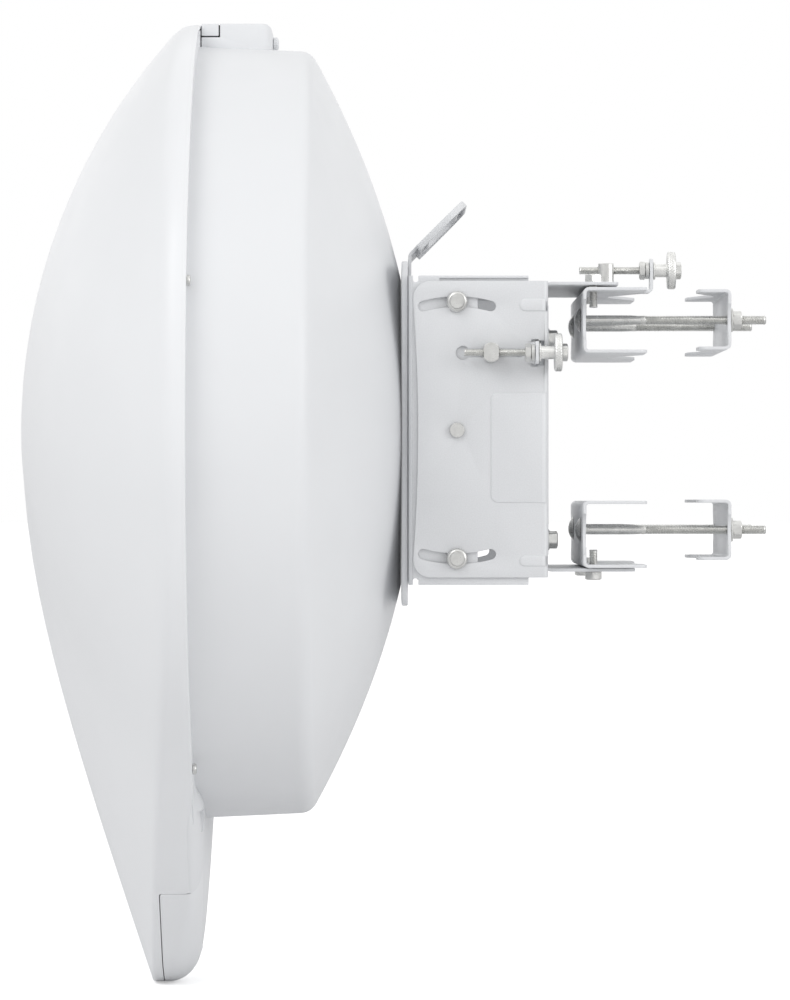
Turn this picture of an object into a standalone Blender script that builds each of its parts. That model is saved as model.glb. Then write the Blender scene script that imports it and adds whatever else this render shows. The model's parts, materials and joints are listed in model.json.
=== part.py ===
"""Outdoor wireless bridge: a 0.5 m dish radio on an azimuth/elevation bracket with mast clamps.

Millimetres are used throughout and scaled to metres when an object is made. +Z is up, the dish
looks along -Y, and the mast stands behind the bracket at +Y. Sizes are given from the centre of
the bracket's rear web face, at the height of the elevation axis, which is also the dish axis. The
root empty then carries everything so that the world's origin is the mast seat: the middle of the
notch floor in the lower flange of the upper front clamp.
"""
import math

import bmesh
import bpy
from mathutils import Matrix, Vector

MM = 0.001
GAP = 0.3                       # clearance between neighbouring pieces
SHEET = 2.0                     # bracket and clamp sheet thickness

# Dish, all on the dish axis (X = 0, Z = 0)
RADOME_RADIUS = 263.5
CHIN_RADIUS = 70.0
CHIN_CENTRE_Z = -286.0
RADOME_FRONT_Y = -337.8
DOME_SPHERE = 382.0             # radius of the dome's upper half
CHIN_DROP = 84.8                # how far the chin's lowest edge lies behind the dome's front
CHIN_LENGTH = 352.0
RADOME_RIM_Y = -221.0
RADOME_WALL = 2.5
SHELL_RADIUS = 247.3
SHELL_WALL = 3.0
SHELL_FLANGE_Y = (-224.0, -221.4)
SHELL_CREASE_Y = -152.5
SHELL_BACK_Y = -92.4            # flat seat of the mounting plate
SHELL_BOWL_Y = -81.3            # apex of the bowl curve that the seat cuts off
SHELL_BOWL_CURVE = 0.00114      # bowl depth per squared radius
REFLECTOR_RADIUS = 240.0
REFLECTOR_APEX_Y = -125.0
FOCAL_LENGTH = 165.0

# Port cover at the bottom of the chin
COVER_TOP_Z = -294.8
COVER_FRONT_Y = -246.2
COVER_REAR_Y = -219.0
COVER_LIP_Z = -334.0
LID_HALF = 62.0                 # flat back of the chin, above the port cover
LID_Z = (-252.0, -304.0)
LID_REAR_Y = -214.5

# Pod on top of the rim, and the screws that hold the radome
POD_HALF = 30.0
POD_Y = (-224.8, -209.2, -175.4)    # front, cap joint, rear
POD_FOOT_Z = 236.0
POD_TOP_Z = 262.6
POD_CAP_Z = 254.3
POD_SCREW_Z = 252.2
SCREW_PLACES = ((239.0, 88.0), (148.0, -210.0))     # X and Z, mirrored in X

# Pieces inside the dish
TUBE_RADIUS = 10.0
SUBREFLECTOR_RADIUS = 26.0
RADIO_HALF = 70.0
SPREADER_HALF = 60.0
SEAL_INSET = (9.0, 12.0)

# Elevation joint
PIVOT_Y = -57.4
ELEVATION_SLOT_RADIUS = 80.5
ELEVATION_SLOT_ANGLE = 15.2     # each way from the middle of the slot
ELEVATION_SCREW = (120.0, 48.4)     # X and Z of the adjuster's axis
ELEVATION_TRUNNION_Y = -36.2
TRUNNION_RADIUS = 6.15
TRUNNION_FLATS = 4.85               # half the width across its two flats
TRUNNION_PIN = 2.3

# Azimuth joint
AZIMUTH_Y = 29.0
AZIMUTH_LOCK_X = 85.0
AZIMUTH_SLOT_ANGLE = 7.4
AZIMUTH_SCREW = (60.0, 102.3)
AZIMUTH_TRUNNION_Y = 38.0

# Bracket channels
INNER_HALF = 107.4
OUTER_HALF = 110.0
OUTER_FRONT_Y = -84.9
OUTER_Z = (-92.3, 93.6)
INNER_HALF_Z = 97.0
INNER_WEB_Y = (-87.8, -85.8)
INNER_SIDE_REAR_Y = -44.4
INNER_LIP_REAR_Y = -12.5
INNER_LIP_X = 97.5
PLATE_Y = (-92.1, -88.1)
ARM_HALF = 96.0
ARM_BOLT_X = 82.0
ARM_BOLT_Z = (58.0, -68.8)
UPPER_ARM = (48.0, 93.7, 44.6)      # foot Z, level face Z, rear Y
LOWER_ARM = (-56.0, -88.8, 55.2)
ARM_FOOT_Y = -2 * SHEET - GAP       # the arms' feet lie against the inner face of the web
ARM_BEND = 5.7                      # height of the web's edge below an arm's level face
BOSS_Y = (-36.3, -2.2)              # pressed panel on each side plate
BOSS_Z = (-45.5, 23.5)
LOOP_HALF = 55.0                    # lifting loop on top of the inner bracket
LOOP_NECK_HALF = 50.0
LOOP_ENDS = (6.5, 49.0)             # distances along the slope, from where it leaves the web
LOOP_THICKNESS = 4.3
LOOP_FOOT_Z = 113.4
PIN_TAB_REAR_Y = -20.0              # tab of the inner bracket that the elevation nut's pin pushes on
PIN_TAB_Z = (35.0, 64.0)

# Mast clamps
CLAMP_HALF = 108.0
CLAMP_WEB_Y = 21.8
CLAMP_TIP_Y = 62.0
CLAMP_NOTCH = (55.0, 42.0)      # half mouth, Y of the floor
NOTCH_FLOOR_HALF = 7.0
UPPER_CLAMP_Z = (48.6, 89.8)
LOWER_CLAMP_Z = (-86.3, -44.2)
ROD_X = 60.0
UPPER_ROD_Z = 70.8
LOWER_ROD_Z = -62.6
ROD_HEAD_Y = 18.3
ROD_END_Y = 139.9
REAR_HALF = 74.0
REAR_HEIGHT = 38.4
REAR_WEB_Y = (115.0, 117.0)
REAR_TIP_Y = 96.0
REAR_NOTCH = (50.0, 110.0)
MAST_SEAT = (0, CLAMP_NOTCH[1], UPPER_CLAMP_Z[0] + SHEET / 2)

# Fasteners
HEX = 10.0                      # M6 hex across flats; the adjuster heads match
M6_HOLE = 3.4                   # radius
M5_HOLE = 2.9                   # radius
KNOB_RADIUS = 11.9
HUB_RADIUS = 4.2
SIDES = (("left", 1), ("right", -1))    # the dish looks along -Y, so its left is +X

# Adjusters as Y spans
ELEVATION_DRIVE = {"screw": (-53.2, 9.5), "collar": (-15.0, -8.9), "hub": (-6.3, 3.1),
                   "knob": (3.1, 8.2), "head": (8.5, 11.8)}
AZIMUTH_DRIVE = {"screw": (21.0, 83.5), "collar": (59.2, 65.4), "hub": (68.0, 76.8),
                 "knob": (76.8, 82.3), "head": (82.6, 85.9)}

ROUND = 16                      # facets around small round pieces
DISH_ROUND = 64                 # facets around the dish


# ---------------------------------------------------------------- materials

def material(name, colour, roughness, metallic=0.0):
    made = bpy.data.materials.new(name)
    made.use_nodes = True
    shader = made.node_tree.nodes["Principled BSDF"]
    shader.inputs["Base Color"].default_value = (*colour, 1.0)
    shader.inputs["Roughness"].default_value = roughness
    shader.inputs["Metallic"].default_value = metallic
    made.diffuse_color = (*colour, 1.0)
    return made


def make_materials():
    return {
        "radome": material("radome_plastic", (0.86, 0.87, 0.88), 0.42),
        "housing": material("housing_plastic", (0.80, 0.81, 0.82), 0.48),
        "paint": material("painted_steel", (0.62, 0.64, 0.66), 0.5),
        "steel": material("stainless_steel", (0.58, 0.57, 0.54), 0.3, 1.0),
        "aluminium": material("pressed_aluminium", (0.75, 0.75, 0.76), 0.35, 1.0),
        "rubber": material("seal_rubber", (0.06, 0.06, 0.06), 0.8),
        "board": material("circuit_board", (0.03, 0.18, 0.08), 0.5),
    }


# ---------------------------------------------------------------- outlines

def arc(centre, radius, start, end, steps):
    """Points on an arc, angles in degrees, both ends included."""
    points = []
    for step in range(steps + 1):
        angle = math.radians(start + (end - start) * step / steps)
        points.append((centre[0] + radius * math.cos(angle), centre[1] + radius * math.sin(angle)))
    return points


def circle(centre, radius, steps=ROUND):
    return arc(centre, radius, 0, 360 - 360 / steps, steps - 1)


def hexagon(centre, flats):
    return circle(centre, flats / math.sqrt(3), 6)


def rectangle(low, high):
    return [(low[0], low[1]), (high[0], low[1]), (high[0], high[1]), (low[0], high[1])]


def rounded(low, high, radius, steps=4):
    corners = (
        ((high[0] - radius, high[1] - radius), 0),
        ((low[0] + radius, high[1] - radius), 90),
        ((low[0] + radius, low[1] + radius), 180),
        ((high[0] - radius, low[1] + radius), 270),
    )
    points = []
    for centre, start in corners:
        points += arc(centre, radius, start, start + 90, steps)
    return points


def slot(start, end, width, steps=6):
    """A straight slot between two end centres."""
    heading = math.degrees(math.atan2(end[1] - start[1], end[0] - start[0]))
    points = arc(end, width / 2, heading - 90, heading + 90, steps)
    return points + arc(start, width / 2, heading + 90, heading + 270, steps)


def curved_slot(pivot, radius, middle, half_angle, width, steps=8):
    """A slot that follows an arc about a pivot."""
    low = middle - half_angle
    high = middle + half_angle
    ends = []
    for angle in (low, high):
        turned = math.radians(angle)
        ends.append((pivot[0] + radius * math.cos(turned), pivot[1] + radius * math.sin(turned)))
    points = arc(pivot, radius + width / 2, low, high, steps)
    points += arc(ends[1], width / 2, high, high + 180, 4)[1:-1]
    points += arc(pivot, radius - width / 2, high, low, steps)
    points += arc(ends[0], width / 2, low + 180, low + 360, 4)[1:-1]
    return points


# ---------------------------------------------------------------- solids

PLANES = {
    "X": lambda point, depth: Vector((depth, point[0], point[1])),
    "Y": lambda point, depth: Vector((point[0], depth, point[1])),
    "Z": lambda point, depth: Vector((point[0], point[1], depth)),
}


def prism(normal, outline, low, high, holes=()):
    """An outline, with holes, in the plane across `normal`, extruded from low to high."""
    place = PLANES[normal]
    mesh = bmesh.new()
    edges = []
    for loop in (outline, *holes):
        ring = [mesh.verts.new(place(point, low)) for point in loop]
        for index, vertex in enumerate(ring):
            edges.append(mesh.edges.new((vertex, ring[(index + 1) % len(ring)])))
    bmesh.ops.triangle_fill(mesh, use_beauty=True, use_dissolve=False, edges=edges)
    grown = bmesh.ops.extrude_face_region(mesh, geom=mesh.faces[:])
    moved = [item for item in grown["geom"] if isinstance(item, bmesh.types.BMVert)]
    bmesh.ops.translate(mesh, verts=moved, vec=place((0, 0), high - low))
    bmesh.ops.recalc_face_normals(mesh, faces=mesh.faces[:])
    return mesh


def box(low, high):
    return prism("Z", rectangle(low[:2], high[:2]), low[2], high[2])


TURNS = {
    "X": Matrix.Rotation(math.radians(90), 3, "Y"),
    "Y": Matrix.Rotation(math.radians(-90), 3, "X"),
    "Z": Matrix.Identity(3),
}


def lathe(axis, centre, profile, steps=ROUND):
    """A profile of (radius, distance along the axis) pairs turned about an axis through centre."""
    mesh = bmesh.new()
    chain = [mesh.verts.new((radius, 0, height)) for radius, height in profile]
    pairs = zip(chain, chain[1:])
    edges = [mesh.edges.new(pair) for pair in pairs]
    if profile[0][0] > 0:
        edges.append(mesh.edges.new((chain[-1], chain[0])))
    bmesh.ops.spin(mesh, geom=chain + edges, cent=(0, 0, 0), axis=(0, 0, 1),
                   angle=math.tau, steps=steps, use_merge=True)
    bmesh.ops.remove_doubles(mesh, verts=mesh.verts[:], dist=1e-4)
    bmesh.ops.rotate(mesh, verts=mesh.verts[:], cent=(0, 0, 0), matrix=TURNS[axis])
    bmesh.ops.translate(mesh, verts=mesh.verts[:], vec=centre)
    bmesh.ops.recalc_face_normals(mesh, faces=mesh.faces[:])
    return mesh


def rod(axis, centre, sections, steps=ROUND):
    """A stepped round bar: (radius, start, end) sections in order along the axis."""
    profile = [(0, sections[0][1])]
    for radius, start, end in sections:
        profile += [(radius, start), (radius, end)]
    profile.append((0, sections[-1][2]))
    return lathe(axis, centre, profile, steps)


def mirrored_x(mesh):
    """A copy of a solid on the other side of the X = 0 plane."""
    copy = mesh.copy()
    bmesh.ops.scale(copy, vec=(-1, 1, 1), verts=copy.verts[:])
    bmesh.ops.reverse_faces(copy, faces=copy.faces[:])
    return copy


# ---------------------------------------------------------------- objects

def empty(name, place):
    made = bpy.data.objects.new(name, None)
    made.location = Vector(place) * MM
    bpy.context.scene.collection.objects.link(made)
    return made


def to_mesh(name, solid, origin):
    """A mesh in metres whose zero is the given place."""
    bmesh.ops.translate(solid, verts=solid.verts[:], vec=-Vector(origin))
    bmesh.ops.scale(solid, vec=(MM, MM, MM), verts=solid.verts[:])
    data = bpy.data.meshes.new(name)
    solid.to_mesh(data)
    solid.free()
    return data


def helper_object(name, solid, origin, target):
    """A hidden wire solid that a Boolean on the target reads."""
    made = bpy.data.objects.new(name, to_mesh(name, solid, origin))
    bpy.context.scene.collection.objects.link(made)
    made.parent = target
    made.hide_render = True
    made.display_type = "WIRE"
    return made


def add_boolean(target, operation, solid, origin, number):
    modifier = target.modifiers.new(f"{operation.lower()}_{number}", "BOOLEAN")
    modifier.operation = operation
    modifier.solver = "EXACT"
    modifier.object = helper_object(f"{target.name}_{operation.lower()}_{number}", solid, origin, target)


def add(name, solid, finish, parent, joined=(), cuts=(), smooth=False):
    """One named sub-part. Its origin is its parent empty's, which lies on its joint's axis."""
    origin = parent["place"]
    made = bpy.data.objects.new(name, to_mesh(name, solid, origin))
    bpy.context.scene.collection.objects.link(made)
    made.data.materials.append(finish)
    made.parent = parent
    for number, extra in enumerate(joined):
        add_boolean(made, "UNION", extra, origin, number)
    for number, extra in enumerate(cuts):
        add_boolean(made, "DIFFERENCE", extra, origin, number)
    if smooth:
        made.data.shade_smooth()
        made.data.set_sharp_from_angle(angle=math.radians(35))
    return made


def make_bodies():
    """An empty on each joint's axis, chained as the joints are."""
    places = {
        "mast_frame": (None, (0, 0, 0)),
        "azimuth_frame": ("mast_frame", (0, AZIMUTH_Y, 0)),
        "elevation_frame": ("azimuth_frame", (0, PIVOT_Y, 0)),
        "azimuth_drive_frame": ("mast_frame", (AZIMUTH_SCREW[0], 0, AZIMUTH_SCREW[1])),
        "azimuth_trunnion_frame": ("mast_frame", (AZIMUTH_SCREW[0], AZIMUTH_TRUNNION_Y, AZIMUTH_SCREW[1])),
        "elevation_drive_frame": ("azimuth_frame", (ELEVATION_SCREW[0], 0, ELEVATION_SCREW[1])),
        "elevation_trunnion_frame": (
            "azimuth_frame", (ELEVATION_SCREW[0], ELEVATION_TRUNNION_Y, ELEVATION_SCREW[1])),
        "upper_rear_frame": ("mast_frame", (0, REAR_WEB_Y[0], UPPER_ROD_Z)),
        "lower_rear_frame": ("mast_frame", (0, REAR_WEB_Y[0], LOWER_ROD_Z)),
        "cover_frame": ("elevation_frame", (0, COVER_REAR_Y, COVER_TOP_Z)),
        "pod_screw_frame": ("elevation_frame", (0, POD_Y[2], POD_SCREW_Z)),
    }
    made = {}
    for name, (parent, place) in places.items():
        made[name] = empty(name, place)
        made[name]["place"] = place
        if parent:
            made[name].parent = made[parent]
            made[name].location = (Vector(place) - Vector(places[parent][1])) * MM
    made["mast_frame"].location = -Vector(MAST_SEAT) * MM
    return made


# ---------------------------------------------------------------- radome outline

def chin_angle():
    """How far below horizontal the normal of the chin's straight flank points."""
    return math.asin((RADOME_RADIUS - CHIN_RADIUS) / -CHIN_CENTRE_Z)


def teardrop(inset, steps):
    """The radome's outline in X and Z: a large circle and the chin's small one, joined by tangents."""
    lean = math.degrees(chin_angle())
    large = arc((0, 0), RADOME_RADIUS - inset, -lean, 180 + lean, steps)
    small = arc((0, CHIN_CENTRE_Z), CHIN_RADIUS - inset, 180 + lean, 360 - lean, steps // 4)
    return large + small


def chin_half_width(z, inset):
    """Half the width of the outline at a height on the chin."""
    lean = chin_angle()
    radius = CHIN_RADIUS - inset
    if z < CHIN_CENTRE_Z - radius * math.sin(lean):
        return math.sqrt(radius ** 2 - (z - CHIN_CENTRE_Z) ** 2)
    return (RADOME_RADIUS - inset + z * math.sin(lean)) / math.cos(lean)


def chin_outline(inset, top_z):
    """The part of the outline that lies below a height, closed by a straight top edge."""
    bottom = CHIN_CENTRE_Z - CHIN_RADIUS + inset
    steps = 12
    heights = [bottom + (top_z - bottom) * math.sin(math.pi / 2 * step / steps) ** 2
               for step in range(steps + 1)]
    right = [(chin_half_width(z, inset), z) for z in heights[1:]]
    return [(0, bottom)] + right + [(-x, z) for x, z in reversed(right)]


def even_spacing(points, count):
    """The closed outline resampled to `count` points, starting where the outline starts."""
    loop = [Vector(point) for point in points]
    lengths = [(loop[(i + 1) % len(loop)] - loop[i]).length for i in range(len(loop))]
    step = sum(lengths) / count
    spaced = []
    index = 0
    walked = 0.0
    for number in range(count):
        wanted = number * step
        while walked + lengths[index] < wanted:
            walked += lengths[index]
            index += 1
        share = (wanted - walked) / lengths[index]
        spaced.append(loop[index].lerp(loop[(index + 1) % len(loop)], share))
    return spaced


def sphere_drop(radius):
    return DOME_SPHERE - math.sqrt(DOME_SPHERE ** 2 - radius ** 2)


def chin_drop(share):
    """The chin's side profile, a cubic curve: depth behind the front at a share of its length."""
    z_handles = (0.0, 90.0, 165.0, CHIN_LENGTH)
    y_handles = (0.0, 0.0, 22.1, CHIN_DROP)
    wanted = share * CHIN_LENGTH
    low = 0.0
    high = 1.0
    for _ in range(30):
        middle = (low + high) / 2
        if cubic(z_handles, middle) < wanted:
            low = middle
        else:
            high = middle
    return cubic(y_handles, low)


def cubic(handles, along):
    back = 1 - along
    return (handles[0] * back ** 3 + 3 * handles[1] * along * back ** 2
            + 3 * handles[2] * along ** 2 * back + handles[3] * along ** 3)


def dome_drop(edge_point, share):
    """Depth of the dome behind its front, at a share of the way to a point of its outline."""
    below = max(0.0, -math.atan2(edge_point[1], abs(edge_point[0])) / (math.pi / 2))
    weight = below ** 2.5
    edge = (1 - weight) * sphere_drop(RADOME_RADIUS) + weight * CHIN_DROP
    round_share = sphere_drop(share * RADOME_RADIUS) / sphere_drop(RADOME_RADIUS)
    chin_share = chin_drop(share) / CHIN_DROP
    return edge * ((1 - weight) * round_share + weight * chin_share)


def radome_shell():
    """A domed shell open at the back: outer skin, rim and inner skin in one closed surface."""
    outline = even_spacing(teardrop(0, 60), DISH_ROUND)
    shares = (0.18, 0.36, 0.54, 0.7, 0.84, 0.94, 1.0)
    mesh = bmesh.new()

    def skin(inset, rim_y):
        rings = []
        for share in shares:
            ring = []
            for point in outline:
                flat = point * share * (1 - inset / point.length)
                depth = RADOME_FRONT_Y + inset + dome_drop(point, share)
                ring.append(mesh.verts.new((flat.x, depth, flat.y)))
            rings.append(ring)
        rim = []
        for point in outline:
            flat = point * (1 - inset / point.length)
            rim.append(mesh.verts.new((flat.x, rim_y, flat.y)))
        rings.append(rim)
        centre = mesh.verts.new((0, RADOME_FRONT_Y + inset, 0))
        return centre, rings

    def join(first, second):
        for index in range(DISH_ROUND):
            after = (index + 1) % DISH_ROUND
            mesh.faces.new((first[index], first[after], second[after], second[index]))

    outer_centre, outer = skin(0, RADOME_RIM_Y)
    inner_centre, inner = skin(RADOME_WALL, RADOME_RIM_Y)
    for centre, rings in ((outer_centre, outer), (inner_centre, inner)):
        for index in range(DISH_ROUND):
            mesh.faces.new((centre, rings[0][index], rings[0][(index + 1) % DISH_ROUND]))
        for first, second in zip(rings, rings[1:]):
            join(first, second)
    join(outer[-1], inner[-1])
    bmesh.ops.recalc_face_normals(mesh, faces=mesh.faces[:])
    return mesh


# ---------------------------------------------------------------- dish

def make_radome(parent, finish):
    cover_room = box((-140, COVER_FRONT_Y - GAP, -380), (140, -200, COVER_TOP_Z + GAP))
    add("radome", radome_shell(), finish, parent, cuts=[cover_room], smooth=True)


def bowl_y(radius, wall=0.0):
    return SHELL_BOWL_Y - wall - SHELL_BOWL_CURVE * radius ** 2


def make_rear_shell(parent, finish):
    crease = SHELL_RADIUS - 4.0
    seat = math.sqrt((SHELL_BOWL_Y - SHELL_BACK_Y) / SHELL_BOWL_CURVE)
    rings = [seat + (crease - seat) * step / 5 for step in range(6)]
    inner_rings = [radius - SHELL_WALL for radius in rings]
    inside = SHELL_RADIUS - SHELL_WALL
    profile = [(0, SHELL_BACK_Y)]
    profile += [(radius, bowl_y(radius)) for radius in rings]
    profile += [(SHELL_RADIUS, SHELL_CREASE_Y - 1), (SHELL_RADIUS, SHELL_FLANGE_Y[0])]
    profile += [(inside, SHELL_FLANGE_Y[0]), (inside, SHELL_CREASE_Y - SHELL_WALL)]
    profile += [(radius, bowl_y(radius + SHELL_WALL, SHELL_WALL)) for radius in reversed(inner_rings)]
    profile.append((0, SHELL_BACK_Y - SHELL_WALL))
    bowl = lathe("Y", (0, 0, 0), profile, DISH_ROUND)
    flange = prism("Y", even_spacing(teardrop(RADOME_WALL + 0.6, 60), DISH_ROUND), *SHELL_FLANGE_Y,
                   holes=[circle((0, 0), SHELL_RADIUS - 1.2, DISH_ROUND)])
    lid_foot = chin_half_width(COVER_LIP_Z, 7)
    top, waist = LID_Z
    lid = prism("Y", [(-LID_HALF, top), (-LID_HALF, waist), (-lid_foot, COVER_LIP_Z + GAP),
                      (lid_foot, COVER_LIP_Z + GAP), (LID_HALF, waist), (LID_HALF, top)],
                SHELL_FLANGE_Y[1] - 1, LID_REAR_Y)
    cover_room = box((-140, COVER_FRONT_Y - GAP, -380), (140, -200, COVER_LIP_Z - GAP))
    screws = [rod("Y", (sign * x, 0, z), [(2.3, -230, -216)], 8)
              for sign in (-1, 1) for x, z in SCREW_PLACES]
    add("rear_shell", bowl, finish, parent, joined=[flange, lid],
        cuts=[cover_room, *screws], smooth=True)


def make_reflector(parent, finish):
    thickness = 1.6
    hole = 12.0
    count = 6
    rings = [hole + (REFLECTOR_RADIUS - hole) * step / count for step in range(count + 1)]
    front = [(radius, REFLECTOR_APEX_Y - radius ** 2 / (4 * FOCAL_LENGTH)) for radius in rings]
    back = [(radius, height + thickness) for radius, height in reversed(front)]
    add("reflector", lathe("Y", (0, 0, 0), front + back, 48), finish, parent, smooth=True)


def make_feed(parent, steel, white):
    focus = REFLECTOR_APEX_Y - FOCAL_LENGTH
    tube = rod("Y", (0, 0, 0), [(TUBE_RADIUS, focus + 22, -112), (TUBE_RADIUS + 8, -112, -109)])
    add("feed_tube", tube, steel, parent, smooth=True)
    sub = lathe("Y", (0, 0, 0), [(0, focus), (SUBREFLECTOR_RADIUS, focus), (SUBREFLECTOR_RADIUS, focus + 3),
                                 (TUBE_RADIUS + 1, focus + 21.7), (0, focus + 21.7)], 24)
    add("subreflector", sub, white, parent, smooth=True)


def make_electronics(parent, finishes):
    board = prism("Y", rounded((-RADIO_HALF, -RADIO_HALF), (RADIO_HALF, RADIO_HALF), 6), -108.6, -107)
    add("radio_board", board, finishes["board"], parent)
    block = prism("Y", rounded((-SPREADER_HALF, -SPREADER_HALF), (SPREADER_HALF, SPREADER_HALF), 4),
                  -106.7, -96)
    add("heat_spreader", block, finishes["aluminium"], parent)
    add("port_board", prism("Y", rectangle((-40, -292), (40, -240)), -230, -228.4), finishes["board"],
        parent)
    add("network_jack", box((-28, -244, -293), (-12, -230.3, -271)), finishes["steel"], parent)
    add("fibre_cage", box((4, -241, -293), (19, -230.3, -248)), finishes["steel"], parent)


def make_rim_seal(parent, finish):
    outer = even_spacing(teardrop(SEAL_INSET[0], 60), 48)
    inner = even_spacing(teardrop(SEAL_INSET[1], 60), 48)
    ring = prism("Y", outer, -226.6, SHELL_FLANGE_Y[0] - GAP, holes=[inner])
    below = box((-140, -240, -380), (140, -215, COVER_TOP_Z + 8))
    bridge = prism("Y", rectangle((-88, COVER_TOP_Z + 8), (88, COVER_TOP_Z + 11)), -226.6,
                   SHELL_FLANGE_Y[0] - GAP)
    add("rim_seal", ring, finish, parent, joined=[bridge], cuts=[below])


def make_radome_screws(parent, finish):
    names = ("upper", "lower")
    for side, sign in SIDES:
        for label, (x, z) in zip(names, SCREW_PLACES):
            screw = rod("Y", (sign * x, 0, z), [(1.9, -223.8, SHELL_FLANGE_Y[1] + GAP),
                                                (3.4, SHELL_FLANGE_Y[1] + GAP, -218.8)], 10)
            add(f"radome_screw_{label}_{side}", screw, finish, parent, smooth=True)


def make_pod(parent, finish):
    outline = [(POD_Y[0], POD_CAP_Z - GAP), (POD_Y[1] + GAP, POD_CAP_Z - GAP),
               (POD_Y[1] + GAP, POD_TOP_Z)]
    outline += arc((POD_Y[2] - 5, POD_TOP_Z - 5), 5, 90, 0, 4)
    outline += [(POD_Y[2], POD_FOOT_Z), (SHELL_FLANGE_Y[1] + GAP, POD_FOOT_Z),
                (SHELL_FLANGE_Y[1] + GAP, POD_FOOT_Z + 14), (POD_Y[0], POD_FOOT_Z + 14)]
    shell_room = lathe("Y", (0, 0, 0), [(0, -240), (SHELL_RADIUS + GAP, -240),
                                        (SHELL_RADIUS + GAP, -160), (0, -160)], DISH_ROUND)
    screw_room = rod("Y", (0, 0, POD_SCREW_Z), [(1.6, -186, -170)], 10)
    rim_room = box((-60, -232, 240), (60, RADOME_RIM_Y + GAP, 258.9))
    add("top_pod", prism("X", outline, -POD_HALF, POD_HALF), finish, parent,
        cuts=[shell_room, screw_room, rim_room])
    cap = prism("X", rectangle((RADOME_RIM_Y + GAP, POD_CAP_Z), (POD_Y[1], POD_TOP_Z)), -POD_HALF, POD_HALF)
    add("pod_cap", cap, finish, parent)


def make_pod_screw(parent, finish):
    screw = rod("Y", (0, 0, POD_SCREW_Z), [(1.3, -185, POD_Y[2] + 0.6), (4.4, POD_Y[2] + 0.6, -171.5)], 20)
    add("pod_screw", screw, finish, parent, smooth=True)


def make_port_cover(parent, finish):
    outer = even_spacing(teardrop(0, 60), 128)
    inner = even_spacing(teardrop(RADOME_WALL, 60), 128)
    wall = prism("Y", outer, COVER_FRONT_Y, COVER_REAR_Y, holes=[inner])
    above = box((-280, -260, COVER_TOP_Z), (280, -200, 280))
    lip = prism("Y", chin_outline(1.0, COVER_LIP_Z), COVER_REAR_Y - 2.4, COVER_REAR_Y)
    add("port_cover", wall, finish, parent, joined=[lip], cuts=[above], smooth=True)


# ---------------------------------------------------------------- bracket

def channel(half_width, web_low, web_high, side_end, low_z, high_z):
    """A channel along Z: a web across X and a side wall at each end, open towards side_end."""
    web_face = web_low if side_end > web_high else web_high
    inside_face = web_high if side_end > web_high else web_low
    inside = half_width - SHEET
    outline = [(-half_width, side_end), (-half_width, web_face), (half_width, web_face),
               (half_width, side_end), (inside, side_end), (inside, inside_face),
               (-inside, inside_face), (-inside, side_end)]
    return prism("Z", outline, low_z, high_z)


def elevation_slots(width):
    """Curved slots above and below the pivot, cut through both side plates."""
    slots = []
    for middle in (90, -90):
        outline = curved_slot((PIVOT_Y, 0), ELEVATION_SLOT_RADIUS, middle, ELEVATION_SLOT_ANGLE, width)
        slots.append(prism("X", outline, -120, 120))
    return slots


def make_outer_bracket(parent, finish):
    body = channel(OUTER_HALF, -SHEET, 0, OUTER_FRONT_Y, *OUTER_Z)
    corner = 8.0
    hollow = 3.1                    # how far the front edge bows in at mid height
    edge_radius = (OUTER_Z[1] ** 2 + hollow ** 2) / (2 * hollow)
    swing = math.degrees(math.asin(80.0 / edge_radius))
    trim = [(OUTER_FRONT_Y - 5, -100), (OUTER_FRONT_Y + corner, -100)]
    trim += arc((OUTER_FRONT_Y + corner, OUTER_Z[0] + corner), corner, 270, 180, 5)
    trim += arc((OUTER_FRONT_Y + hollow - edge_radius, 0), edge_radius, -swing, swing, 10)
    trim += arc((OUTER_FRONT_Y + corner, OUTER_Z[1] - corner), corner, 180, 90, 5)
    trim += [(OUTER_FRONT_Y + corner, 100), (OUTER_FRONT_Y - 5, 100)]
    x, z = ELEVATION_SCREW
    ear = box((OUTER_HALF - 1, -8.6, z - 7), (x + 7, -6.6, z + 7))
    boss = rounded((BOSS_Y[0], BOSS_Z[0]), (BOSS_Y[1], BOSS_Z[1]), 4)
    emboss = [prism("X", boss, *sorted((sign * (OUTER_HALF - 1), sign * (OUTER_HALF + 0.7))))
              for sign in (1, -1)]
    cuts = [prism("X", trim, -120, 120)]
    cuts += elevation_slots(6.6)
    cuts.append(rod("X", (0, PIVOT_Y, 0), [(M6_HOLE, -120, 120)]))
    keyhole = slot((-54.0, z), (-18, z), 5.4)
    cuts.append(prism("X", keyhole, 100, 120))
    cuts.append(rod("X", (0, -53.7, z), [(4.4, 100, 120)]))
    cuts.append(rod("Y", (x, 0, z), [(M5_HOLE, -12, -3)]))
    for sign_x in (1, -1):
        for sign_z in (1, -1):
            inner = sorted((sign_x * INNER_LIP_X, sign_x * (OUTER_HALF - SHEET)))
            tall = sorted((sign_z * 78, sign_z * 100))
            cuts.append(box((inner[0], -SHEET - 1, tall[0]), (inner[1], 1, tall[1])))
    arm_room = ARM_HALF + GAP
    cuts.append(box((-arm_room, -SHEET - 1, UPPER_ARM[1] - ARM_BEND), (arm_room, 1, 100)))
    cuts.append(box((-arm_room, -SHEET - 1, -100), (arm_room, 1, LOWER_ARM[1] + ARM_BEND)))
    cuts += arm_bolt_holes()
    add("outer_bracket", body, finish, parent, joined=[ear, *emboss], cuts=cuts)


def arm_bolt_holes():
    return [rod("Y", (sign * ARM_BOLT_X, 0, z), [(M6_HOLE, -8, 5)], 12)
            for sign in (1, -1) for z in ARM_BOLT_Z]


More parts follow.
